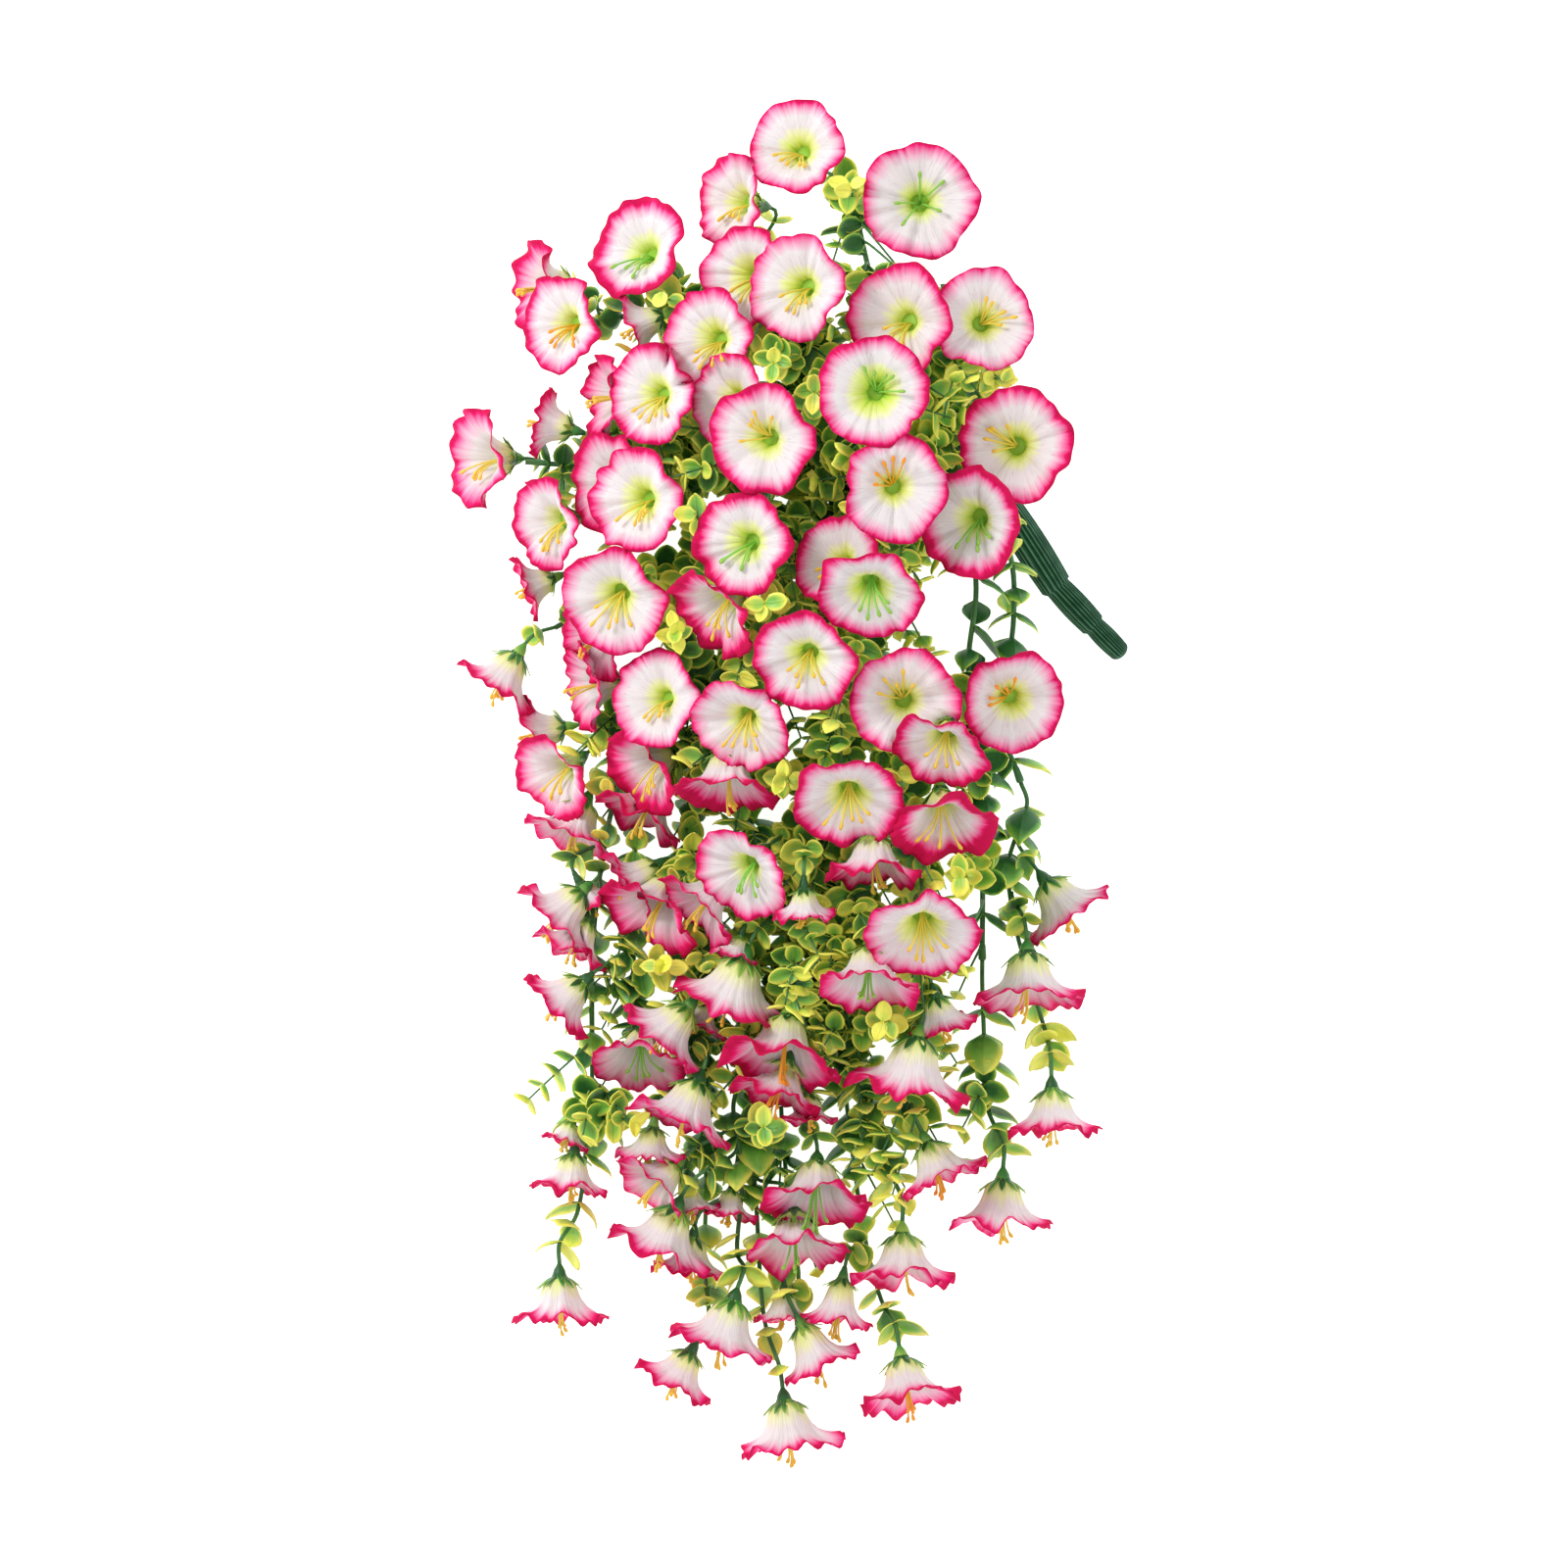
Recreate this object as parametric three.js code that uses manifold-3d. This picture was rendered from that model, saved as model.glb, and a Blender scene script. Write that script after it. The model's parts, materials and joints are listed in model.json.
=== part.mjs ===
// An artificial trailing petunia bush, laid down on a surface.
// +X is its right and +Y its top as it is looked at, +Z points up from the surface.
// The origin is on the surface, under the middle of the bush. All sizes are millimetres.
import * as THREE from 'three';
import Module from 'manifold-3d';

const wasm = await Module();
wasm.setup();

// ---- Driving dimensions ----
const PIXEL = 0.55;             // real size of one pixel of the photograph
const CENTRE_X = 801;           // pixel column over the origin
const CENTRE_Y = 800;           // pixel row over the origin
const SEAT_GAP = 0.3;           // air between two pieces that touch
const LAYER_STEP = 7;           // height between two layers of blooms
const TOP_LAYER = 5;            // the layer that lies on the front surface
const CROWN = { x: 930, y: 480, left: 430, right: 200, up: 420, down: 620 };  // dome, in pixels
const FLAT_HEIGHT = 62;         // front surface away from the crown
const DOME_HEIGHT = 118;        // what the crown adds to it
const CURTAIN = { top: 850, full: 980, fall: 1150, end: 1290, height: 34 };  // the thick middle

const FUNNEL_HEIGHT = 0.44;     // of a bloom's diameter, calyx to rim
const RIM_THICK = 0.9;
const LOBES = 5;                // lobes of a bloom's rim
const BASE_RADIUS = 0.06;       // of a bloom's diameter, from here down
const WAIST_RADIUS = 0.19;
const THROAT_RADIUS = 0.15;
const STAMEN_RADIUS = 0.04;
const WAIST_RISE = 0.42;        // of a funnel's height, from here down
const THROAT_RISE = 0.6;
const STAMEN_FOOT = 0.46;
const STAMEN_TIP = 0.86;
const THROAT_END = 0.42;
const VALLEY = 0.035;           // how far the rim draws in between two lobes
const WAVE = 0.035;             // how far the rim waves up and down
const JITTER = 0.02;            // uneven part of the two
const SIDE_TILT = 60;           // past this tilt a bloom is seen from its side
const SHOWS_STAMENS = 46;       // up to this tilt its stamens stand out
const SIDE_ON = 78;             // past this tilt its throat is out of sight

const WIRE_RADIUS = 1.9;
const SHOOT_RADIUS = 1.6;
const STEM_RADIUS = 1.4;
const SLEEVE_RADIUS = 2.9;
const SLEEVE_LENGTH = 9;
const CALYX_REACH = 7;          // length of a calyx below its bloom
const CUP_WALL = 0.6;           // how far a calyx stands out past its bloom's foot
const LID_RADIUS = 0.95;        // of the cup's radius, where the sepals start
const CONE_SHARE = 1.8;         // and how far the cone round the sepals reaches between two of them
const SEPAL_REACH = 0.19;       // of a bloom's diameter, out from its axis
const SEPAL_RISE = 0.1;         // and forward along its tube
const STEM_REACH = 24;          // straight end of a flower stem
const STEM_START = 0.6;         // share of it along the carrier where the stem forks off
const REACH_SHARE = 0.5;        // of a flower stem's length, the most that either one takes
const SHOOT_LEAD = 12;          // straight ends of a shoot
const STEM_SIDES = 3;
const FLOWER_STEPS = 2;         // straight stretches of a flower stem
const LONG_LINE = 5;            // from this many points on, a line gets no more between them
const FORK_SHARES = [0.1, 0.5, 0.9];  // where a flower stem may fork off a stretch of a carrier
const SLIT_CLEAR = 0.35;        // air round a stem that passes through a bloom
const MEETING = 1e-6;           // a shared volume that counts as none
const TRUNK = 'stalk_and_branches';

const LEAF = { length: 13, width: 13, droop: 7, thick: 0.9 };
const LEAF_BEND = 1.6;          // how late along its length a leaf droops
const LEAF_SMALLEST = 0.8;
const LEAF_CLEAR = 0.35;        // air round a leaf
const LEAF_SEED = 7;
const SHOOT_LEAF_STEP = 30;     // distance between two leaf caps on a shoot
const BRANCH_LEAF_STEP = 120;   // and on a branch
const FLOWER_LEAF_STEP = 95;    // and on a flower stem

// Blooms: pixel column and row of the rim's centre, diameter in pixels, facing (degrees, 0 is
// right and 90 is up), tilt away from the viewer (degrees) and layer (5 is the front).
// A last number, where there is one, is the funnel's height as a share of the diameter.
const BLOOMS = {
  1: [812, 150, 100, 135, 25, 2.7], 2: [938, 208, 118, 90, 3, 2], 3: [743, 205, 98, 172, 50, 0.2],
  4: [757, 285, 105, 180, 40, 2], 5: [811, 297, 108, 180, 30, 3], 6: [915, 330, 115, 170, 25, 1],
  7: [1003, 330, 105, 45, 12, 3], 8: [722, 350, 105, 180, 35, 2], 9: [890, 405, 112, 180, 5, 5.2],
  10: [742, 410, 95, 180, 40, 1], 11: [777, 453, 112, 200, 20, 3.3], 12: [664, 405, 102, 178, 35, 2.9],
  13: [612, 405, 90, 180, 70, 1], 14: [650, 253, 110, 150, 40, 3], 15: [541, 290, 98, 178, 68, 1],
  16: [570, 330, 102, 180, 45, 3], 17: [645, 335, 75, 200, 95, 0], 18: [482, 466, 103, 180, 60, 1],
  19: [552, 430, 75, 165, 100, 1], 20: [617, 492, 105, 180, 50, 0.4], 21: [648, 512, 108, 185, 35, 3],
  22: [757, 557, 106, 190, 25, 3.3], 23: [913, 503, 108, 315, 10, 4.2], 24: [985, 535, 115, 200, 30, 2],
  25: [1032, 458, 118, 180, 8, 3.4], 26: [852, 572, 95, 150, 35, 1], 27: [886, 610, 108, 265, 38, 4],
  28: [725, 630, 105, 225, 60, 3], 29: [555, 535, 98, 192, 50, 2], 30: [535, 600, 70, 200, 85, 1],
  31: [625, 615, 113, 225, 32, 4], 32: [600, 655, 95, 210, 65, 1], 33: [592, 700, 95, 190, 70, 1],
  34: [668, 713, 102, 178, 35, 2.4], 35: [503, 702, 95, 235, 92, 1], 36: [540, 748, 80, 190, 92, 0],
  37: [560, 795, 100, 215, 55, 2], 38: [652, 790, 100, 215, 60, 1.6], 39: [650, 838, 100, 240, 80, 0],
  40: [755, 742, 105, 237, 40, 4], 41: [740, 812, 105, 265, 73, 3.2], 42: [820, 677, 108, 240, 30, 4],
  43: [922, 718, 112, 290, 8, 2], 44: [957, 768, 100, 250, 50, 4], 45: [1033, 718, 105, 300, 20, 2],
  46: [865, 820, 115, 268, 40, 4.3], 47: [962, 847, 110, 275, 55, 4], 48: [755, 892, 105, 225, 45, 5],
  49: [890, 895, 100, 270, 80, 2], 50: [940, 955, 118, 270, 45, 4], 51: [885, 1010, 105, 268, 68, 4],
  52: [962, 1048, 75, 285, 100, 1], 53: [1093, 935, 100, 306, 92, 2], 54: [1050, 1022, 115, 272, 80, 3],
  55: [1075, 1155, 98, 272, 88, 2], 56: [1022, 1252, 106, 268, 88, 2], 57: [963, 1205, 95, 294, 85, 2],
  58: [921, 1308, 108, 270, 83, 3], 59: [925, 1113, 128, 258, 92, 4], 60: [852, 1352, 75, 260, 88, 2, 0.6],
  61: [838, 1397, 85, 295, 92, 2, 0.55], 62: [812, 1281, 104, 272, 70, 4],
  63: [832, 1233, 114, 268, 65, 3.75],
  64: [795, 1088, 122, 260, 70, 4], 66: [790, 1122, 95, 250, 80, 2], 67: [742, 1025, 118, 250, 100, 2.9],
  68: [672, 1060, 100, 227, 95, 3], 69: [650, 1090, 97, 262, 60, 1], 70: [692, 1148, 110, 246, 85, 3],
  71: [565, 1028, 90, 221, 95, 2], 72: [580, 972, 85, 240, 85, 1], 73: [562, 940, 97, 223, 90, 2],
  74: [578, 858, 100, 245, 80, 1], 75: [605, 925, 60, 300, 90, 1], 76: [640, 905, 85, 215, 85, 1.9],
  77: [660, 937, 112, 235, 65, 3], 78: [708, 930, 95, 225, 75, 3], 79: [820, 935, 65, 270, 95, 3],
  80: [662, 1182, 70, 262, 95, 0], 81: [660, 1215, 90, 222, 70, 2], 82: [670, 1278, 110, 246, 92, 3],
  83: [702, 1300, 80, 262, 92, 1], 84: [706, 1240, 60, 280, 85, 0], 85: [570, 1348, 98, 270, 90, 1],
  86: [733, 1375, 112, 252, 92, 3], 87: [685, 1415, 88, 240, 92, 2], 88: [807, 1478, 107, 278, 92, 2],
  89: [928, 1433, 105, 280, 78, 2], 90: [580, 1215, 82, 262, 85, 1], 91: [575, 1168, 50, 250, 85, 0],
  92: [800, 1350, 64, 270, 85, 0.5], 95: [742, 1243, 60, 260, 85, 0], 96: [825, 1145, 60, 270, 85, 0],
  97: [712, 1050, 60, 250, 85, 0.6], 98: [748, 977, 50, 250, 85, 1.1],
};

// Branches, moulded in one piece with the stalk: pixel column, pixel row and height of each point.
// Each one starts on the stalk's end or on a point of an earlier branch.
const HUB = [955, 445, 58];
const MIDDLE_1 = [880, 640, 58];
const MIDDLE_2 = [850, 740, 54];
const MIDDLE_3 = [830, 850, 46];
const LEFT_1 = [740, 740, 40];
const LEFT_2 = [700, 840, 36];
const OUTER = [660, 720, 28];
const UNDER = [866, 860, 42];
const INNER_FORK = [813, 960, 36];
const LEFT_FORK = [772, 1000, 26];
const OUTER_FORK = [716, 940, 26];
const BRANCHES = {
  top: [HUB, [925, 380, 72], [893, 300, 72], [872, 215, 68], [862, 188, 66]],
  top_right: [HUB, [968, 380, 68], [962, 290, 66]],
  upper: [HUB, [890, 400, 58], [810, 345, 52], [735, 300, 46], [680, 318, 42], [610, 322, 36]],
  inner: [HUB, [880, 455, 48], [790, 440, 42], [700, 440, 36], [650, 430, 32]],
  left: [HUB, [880, 482, 42], [780, 480, 32], [690, 466, 28], [590, 473, 28], [535, 470, 28]],
  low_left: [HUB, [890, 512, 46], [800, 545, 38], [700, 580, 30], [620, 610, 26], [565, 640, 26]],
  outer: [HUB, [900, 540, 50], [820, 620, 42], [740, 680, 34], OUTER, [610, 732, 26]],
  front: [HUB, [922, 480, 80], [892, 540, 84], [870, 590, 78]],
  middle: [HUB, [925, 540, 60], MIDDLE_1, MIDDLE_2, MIDDLE_3],
  inside_left: [[900, 540, 50], [800, 650, 46], LEFT_1, LEFT_2],
  right: [HUB, [985, 520, 60], [996, 600, 62], [988, 680, 62], [1000, 780, 56], [1003, 890, 44],
    [1003, 980, 34]],
  far_right: [HUB, [1005, 500, 54], [1032, 570, 52], [1034, 640, 52], [1020, 730, 50], [1042, 798, 44]],
  down_57: [MIDDLE_1, [915, 760, 52], [932, 880, 42], [936, 1000, 34]],
  down_58: [MIDDLE_2, UNDER, [862, 960, 34], [864, 1050, 30]],
  down_89: [UNDER, [852, 960, 22], [858, 1060, 18]],
  down_63: [MIDDLE_3, [842, 960, 36], [842, 1090, 32]],
  down_62: [MIDDLE_3, INNER_FORK, [808, 1060, 34], [810, 1130, 34]],
  down_61: [INNER_FORK, [795, 1050, 18], [797, 1130, 16]],
  down_88: [LEFT_1, [770, 860, 34], LEFT_FORK, [768, 1135, 22]],
  down_86: [LEFT_FORK, [752, 1110, 34]],
  down_87: [LEFT_2, OUTER_FORK, [722, 1040, 20], [718, 1130, 18]],
  down_82: [OUTER_FORK, [698, 1050, 32], [690, 1140, 34]],
  down_80: [OUTER, [650, 820, 30], [645, 950, 28], [650, 1070, 26]],
  down_85: [OUTER, [625, 820, 28], [605, 950, 26], [603, 1080, 24]],
};

// Shoots, each pushed on the end of the branch named, up to the calyx of the bloom numbered.
const SHOOTS = {
  56: { on: 'right', by: [[1005, 1060, 30], [1008, 1130, 28]] },
  55: { on: 'far_right', by: [[1030, 880, 34], [1036, 940, 26], [1052, 1000, 22], [1068, 1055, 34]] },
  57: { on: 'down_57', by: [[930, 1090, 20]] },
  58: { on: 'down_58', by: [[888, 1120, 30], [906, 1190, 32]] },
  89: { on: 'down_89', by: [[868, 1160, 10], [884, 1270, 6], [900, 1330, 14]] },
  61: { on: 'down_61', by: [[806, 1240, 8], [815, 1310, 14]] },
  88: { on: 'down_88', by: [[772, 1240, 20], [780, 1350, 22]] },
  86: { on: 'down_86', by: [[757, 1200, 34], [752, 1280, 34]] },
  87: { on: 'down_87', by: [[720, 1210, 8], [718, 1290, 8]] },
  85: { on: 'down_85', by: [[598, 1160, 24], [588, 1240, 24]] },
};

// Blooms whose stem forks from a stem other than the nearest one.
const FORKS = { 95: 'shoot_86' };

// The stalk: pixel column, pixel row and height of its middle, and its radius.
const STALK = [
  [1148, 668, 6.1, 4.4], [1143, 662, 6.1, 6.1], [1119, 638, 8, 6.1], [1117, 636, 8.2, 7.6],
  [1081, 598, 12, 7.6], [1079, 596, 12.2, 9.4], [1030, 520, 26, 9.4], [985, 470, 44, 9.6],
  [955, 445, 58, 11], [925, 425, 62, 7],
];
const STALK_SIDES = 12;
const FLUTE = 0.14;             // depth of the grooves between its stems

// ---- Small tools ----
function randomFrom(seed) {
  let state = seed >>> 0;
  return () => {
    state = (state + 0x6d2b79f5) >>> 0;
    let mixed = Math.imul(state ^ (state >>> 15), state | 1);
    mixed ^= mixed + Math.imul(mixed ^ (mixed >>> 7), mixed | 61);
    return ((mixed ^ (mixed >>> 14)) >>> 0) / 4294967296;
  };
}

function place([column, row, height]) {
  return new THREE.Vector3((column - CENTRE_X) * PIXEL, (CENTRE_Y - row) * PIXEL, height);
}

// Two directions square to a third one.
function squareTo(axis) {
  const other = Math.abs(axis.z) < 0.8 ? new THREE.Vector3(0, 0, 1) : new THREE.Vector3(0, 1, 0);
  const u = new THREE.Vector3().crossVectors(other, axis).normalize();
  const v = new THREE.Vector3().crossVectors(axis, u);
  return [u, v];
}

// Triangles between two rings that run the same way round, with as many points or twice as many.
function band(a, b) {
  const faces = [];
  const at = (ring, i) => ring[(i + ring.length) % ring.length];
  const steps = Math.min(a.length, b.length);
  for (let i = 0; i < steps; i += 1) {
    if (a.length === b.length) {
      faces.push([at(a, i), at(a, i + 1), at(b, i)], [at(a, i + 1), at(b, i + 1), at(b, i)]);
    } else if (b.length === 2 * a.length) {
      faces.push([at(a, i), at(b, 2 * i), at(b, 2 * i - 1)]);
      faces.push([at(a, i), at(b, 2 * i + 1), at(b, 2 * i)]);
      faces.push([at(a, i), at(a, i + 1), at(b, 2 * i + 1)]);
    } else {
      faces.push([at(a, 2 * i - 1), at(a, 2 * i), at(b, i)]);
      faces.push([at(a, 2 * i), at(a, 2 * i + 1), at(b, i)]);
      faces.push([at(a, 2 * i + 1), at(b, i + 1), at(b, i)]);
    }
  }
  return faces;
}

// A closed solid through rings of points. Its last ring may be one point.
function loft(rings) {
  const points = [];
  const numbered = rings.map((ring) => ring.map((point) => points.push(point) - 1));
  const faces = [];
  const first = numbered[0];
  for (let i = 1; i < first.length - 1; i += 1) {
    faces.push([first[0], first[i + 1], first[i]]);
  }
  for (let k = 1; k < numbered.length; k += 1) {
    const [a, b] = [numbered[k - 1], numbered[k]];
    if (b.length === 1) {
      a.forEach((point, i) => faces.push([point, a[(i + 1) % a.length], b[0]]));
    } else {
      faces.push(...band(a, b));
    }
  }
  const last = numbered[numbered.length - 1];
  for (let i = 1; i < last.length - 1; i += 1) {
    faces.push([last[0], last[i], last[i + 1]]);
  }
  return solid(points, faces);
}

function solid(points, faces) {
  const vertProperties = new Float32Array(points.flatMap((point) => point.toArray()));
  const triVerts = new Uint32Array(faces.flat());
  return new wasm.Manifold(new wasm.Mesh({ numProp: 3, vertProperties, triVerts }));
}

// A tube of a few sides through points, with a radius for each point.
function tube(points, radii, sides, { groove = 0, ending = null } = {}) {
  const directions = points.map((point, i) => {
    const before = points[Math.max(i - 1, 0)];
    const after = points[Math.min(i + 1, points.length - 1)];
    return after.clone().sub(before).normalize();
  });
  if (ending) {
    directions[points.length - 1] = ending;
  }
  let [u] = squareTo(directions[0]);
  const rings = points.map((point, i) => {
    u = u.clone().addScaledVector(directions[i], -u.dot(directions[i])).normalize();
    const v = new THREE.Vector3().crossVectors(directions[i], u);
    return ringOf(point, u, v, sides, (k) => radii[i] * (k % 2 ? 1 - groove : 1));
  });
  return { rings, u };
}

function ringOf(middle, u, v, sides, radius, rise = () => 0) {
  const axis = new THREE.Vector3().crossVectors(u, v);
  return Array.from({ length: sides }, (_, k) => {
    const angle = (k * 2 * Math.PI) / sides;
    return middle.clone()
      .addScaledVector(u, radius(k) * Math.cos(angle))
      .addScaledVector(v, radius(k) * Math.sin(angle))
      .addScaledVector(axis, rise(k));
  });
}

function joined(solids) {
  return wasm.Manifold.union(solids);
}

function touches(a, b) {
  const [p, q] = [a.boundingBox(), b.boundingBox()];
  const apart = [0, 1, 2].some((i) => p.max[i] < q.min[i] || q.max[i] < p.min[i]);
  return !apart && a.intersect(b).volume() > MEETING;
}

// ---- Blooms ----
function frontHeight(column, row) {
  const across = (column - CROWN.x) / (column < CROWN.x ? CROWN.left : CROWN.right);
  const along = (row - CROWN.y) / (row < CROWN.y ? CROWN.up : CROWN.down);
  const dome = Math.max(0, 1 - across ** 2 - along ** 2);
  const rise = THREE.MathUtils.smoothstep(row, CURTAIN.top, CURTAIN.full);
  const fall = THREE.MathUtils.smoothstep(row, CURTAIN.fall, CURTAIN.end);
  const curtain = (rise - fall) * Math.max(0, 1 - across ** 2);
  return FLAT_HEIGHT + DOME_HEIGHT * dome + CURTAIN.height * curtain;
}

// Everything about one bloom that follows from its row.
function bloomPlan(number, [column, row, width, facing, tilt, layer, share = FUNNEL_HEIGHT]) {
  const diameter = width * PIXEL;
  const [turn, lean] = [THREE.MathUtils.degToRad(facing), THREE.MathUtils.degToRad(tilt)];
  const axis = new THREE.Vector3(
    Math.sin(lean) * Math.cos(turn), Math.sin(lean) * Math.sin(turn), Math.cos(lean));
  const random = randomFrom(number);
  const sides = 2 * LOBES;
  const uneven = () => (random() * 2 - 1) * JITTER * diameter;
  const reach = Array.from({ length: sides }, (_, k) => (
    (diameter / 2) * (k % 2 ? 1 - VALLEY : 1 + VALLEY) + uneven()));
  const rise = Array.from({ length: sides }, (_, k) => (
    (k % 2 ? WAVE : -WAVE) * diameter + uneven()));
  const plan = { number, diameter, axis, tilt, reach, rise, height: share * diameter };
  const wanted = frontHeight(column, row) - (TOP_LAYER - layer) * LAYER_STEP;
  plan.middle = place([column, row, wanted]);
  const lowest = Math.min(...rimRing(plan, 0).map((point) => point.z));
  plan.middle.z += Math.max(0, RIM_THICK - lowest);
  plan.seat = plan.middle.clone().addScaledVector(axis, -plan.height);
  return plan;
}

function rimRing(plan, below) {
  const [u, v] = squareTo(plan.axis);
  return ringOf(plan.middle, u, v, plan.reach.length, (k) => plan.reach[k], (k) => plan.rise[k] - below);
}

// A trumpet with a waved rim. Its waist shows from the side, its throat from the front.
function bloomSolid(plan) {
  const { seat, axis, diameter, height, tilt } = plan;
  const [u, v] = squareTo(axis);
  const ring = (radius, share) => ringOf(
    seat.clone().addScaledVector(axis, share * height), u, v, LOBES, () => radius * diameter);
  const frontal = tilt < SHOWS_STAMENS;
  const waist = frontal ? [] : [ring(WAIST_RADIUS, WAIST_RISE)];
  const throat = tilt < SIDE_ON ? [ring(THROAT_RADIUS, THROAT_RISE)] : [];
  const stamens = frontal ? [ring(STAMEN_RADIUS, STAMEN_FOOT)] : [];
  const tip = seat.clone().addScaledVector(axis, (frontal ? STAMEN_TIP : THROAT_END) * height);
  return loft([ring(BASE_RADIUS, 0), ...waist, rimRing(plan, RIM_THICK), rimRing(plan, 0),
    ...throat, ...stamens, [tip]]);
}

// ---- Stems ----
// A smooth line through a few given points, with one more between each two of a short list.
function smooth(points) {
  const curve = new THREE.CatmullRomCurve3(points, false, 'centripetal');
  return curve.getPoints(points.length < LONG_LINE ? 2 * (points.length - 1) : points.length - 1);
}

// The place on the carriers where a flower stem forks off, and the direction there.
function forkFor(plan, carriers) {
  const goal = plan.seat.clone().addScaledVector(plan.axis, -STEM_REACH);
  let best = { cost: Infinity };
  const allowed = Object.entries(carriers).filter(([name]) => name === (FORKS[plan.number] ?? name));
  for (const [name, line] of allowed) {
    for (let i = 1; i < line.length; i += 1) {
      for (const share of FORK_SHARES) {
        const point = line[i - 1].clone().lerp(line[i], share);
        const onward = line[i].clone().sub(line[i - 1]).normalize();
        const way = goal.clone().sub(point);
        const back = Math.max(0, -way.clone().normalize().dot(onward));
        const under = Math.max(0, point.z - goal.z);
        const cost = way.length() * (1 + back) + 2 * under;
        if (cost < best.cost) {
          best = { cost, name, point, onward };
        }
      }
    }
  }
  return best;
}

// The line of a flower stem from its fork to the foot of its calyx.
function flowerLine(plan, { point, onward }) {
  const neck = neckOf(plan);
  const reach = Math.min(STEM_REACH, point.distanceTo(neck) * REACH_SHARE);
  const curve = new THREE.CubicBezierCurve3(
    point, point.clone().addScaledVector(onward, reach * STEM_START),
    neck.clone().addScaledVector(plan.axis, -reach), neck);
  return curve.getPoints(FLOWER_STEPS);
}

function neckOf(plan) {
  return plan.seat.clone().addScaledVector(plan.axis, -CALYX_REACH);
}

// How much fatter a three-sided stem is at its corners, to have so much air at its sides.
function sideAir(extra) {
  return extra / Math.cos(Math.PI / STEM_SIDES);
}

// A stem along a line with the calyx of a bloom on its end, with air round it where that is asked.
function stemSolid(plan, line, radius, extra = 0) {
  const radii = line.map(() => radius + sideAir(extra));
  const { rings, u } = tube(line, radii, STEM_SIDES, { ending: plan.axis });
  return loft([...rings, ...calyxRings(plan, u, extra)]);
}

// A cup under the bloom, with sepals standing out round the tube where it shows.
// A fatter one is a plain cone that holds the sepals.
function calyxRings(plan, u, extra) {
  const v = new THREE.Vector3().crossVectors(plan.axis, u);
  const top = plan.seat.clone().addScaledVector(plan.axis, extra - SEAT_GAP);
  const cup = BASE_RADIUS * plan.diameter + CUP_WALL;
  if (plan.tilt < SIDE_TILT) {
    return [ringOf(top, u, v, STEM_SIDES, () => cup + sideAir(extra))];
  }
  const [reach, rise] = [SEPAL_REACH * plan.diameter, SEPAL_RISE * plan.diameter];
  if (extra > 0) {
    const radius = (k) => (k % 2 ? CONE_SHARE * cup : reach) + sideAir(extra);
    return [ringOf(top, u, v, 2 * STEM_SIDES, radius, () => rise)];
  }
  const sepals = ringOf(
    top, u, v, 2 * STEM_SIDES, (k) => (k % 2 ? cup : reach), (k) => (k % 2 ? 0 : rise));
  return [sepals, ringOf(top, u, v, STEM_SIDES, () => cup * LID_RADIUS)];
}

// ---- Leaves ----
// Half the outline of a leaf: along it and across it, as shares of its length and width.
const LEAF_OUTLINE = [[0, 0.04], [0.5, 0.5], [1, 0]];

// One thin arched leaf, its root sunk in the stem.
function leafSolid({ middle, onward, outward, size }, extra = 0) {
  const u = outward;
  const v = new THREE.Vector3().crossVectors(onward, u);
  const at = (along, across, below) => middle.clone()
    .addScaledVector(u, along * (LEAF.length * size + extra))
    .addScaledVector(v, across * (LEAF.width * size + 2 * extra))
    .addScaledVector(onward, LEAF.droop * size * along ** LEAF_BEND + below);
  const [root, shoulder, tip] = LEAF_OUTLINE;
  const outline = [
    [root[0], root[1]], [root[0], -root[1]], [shoulder[0], -shoulder[1]], tip, shoulder];
  const top = [[0, 1, 2], [0, 2, 4], [2, 3, 4]];
  const count = outline.length;
  const points = [-LEAF.thick / 2 - extra, LEAF.thick / 2 + extra].flatMap((below) => (
    outline.map(([along, across]) => at(along, across, below))));
  const faces = top.flatMap(([i, j, k]) => [[i, k, j], [i + count, j + count, k + count]]);
  outline.forEach((_, i) => {
    const j = (i + 1) % count;
    faces.push([i, j, i + count], [j, j + count, i + count]);
  });
  return solid(points, faces);
}

// Places for pairs of leaves along a line, on two sides of the stem, each pair turned on.
function leafPlaces(line, step, random) {
  const { rings } = tube(line, line.map(() => 1), STEM_SIDES);
  const lengths = line.slice(1).map((point, i) => point.distanceTo(line[i]));
  const whole = lengths.reduce((sum, length) => sum + length, 0);
  const spots = [];
  for (let k = 0; k < Math.floor(whole / step); k += 1) {
    let way = (k + 0.5) * step;
    let i = 0;
    while (way > lengths[i]) {
      way -= lengths[i];
      i += 1;
    }
    const middle = line[i].clone().lerp(line[i + 1], way / lengths[i]);
    const onward = line[i + 1].clone().sub(line[i]).normalize();
    const size = LEAF_SMALLEST + (1 - LEAF_SMALLEST) * random();
    for (const side of [k, k + 1]) {
      const outward = sideOf(rings[i], line[i], side, onward);
      spots.push({ middle, onward, outward, size });
    }
  }
  return spots;
}

// The direction out of the middle of one side of a stem.
function sideOf(ring, middle, side, onward) {
  const [a, b] = [ring[side % ring.length], ring[(side + 1) % ring.length]];
  const out = a.clone().add(b).multiplyScalar(0.5).sub(middle);
  return out.addScaledVector(onward, -out.dot(onward)).normalize();
}

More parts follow.
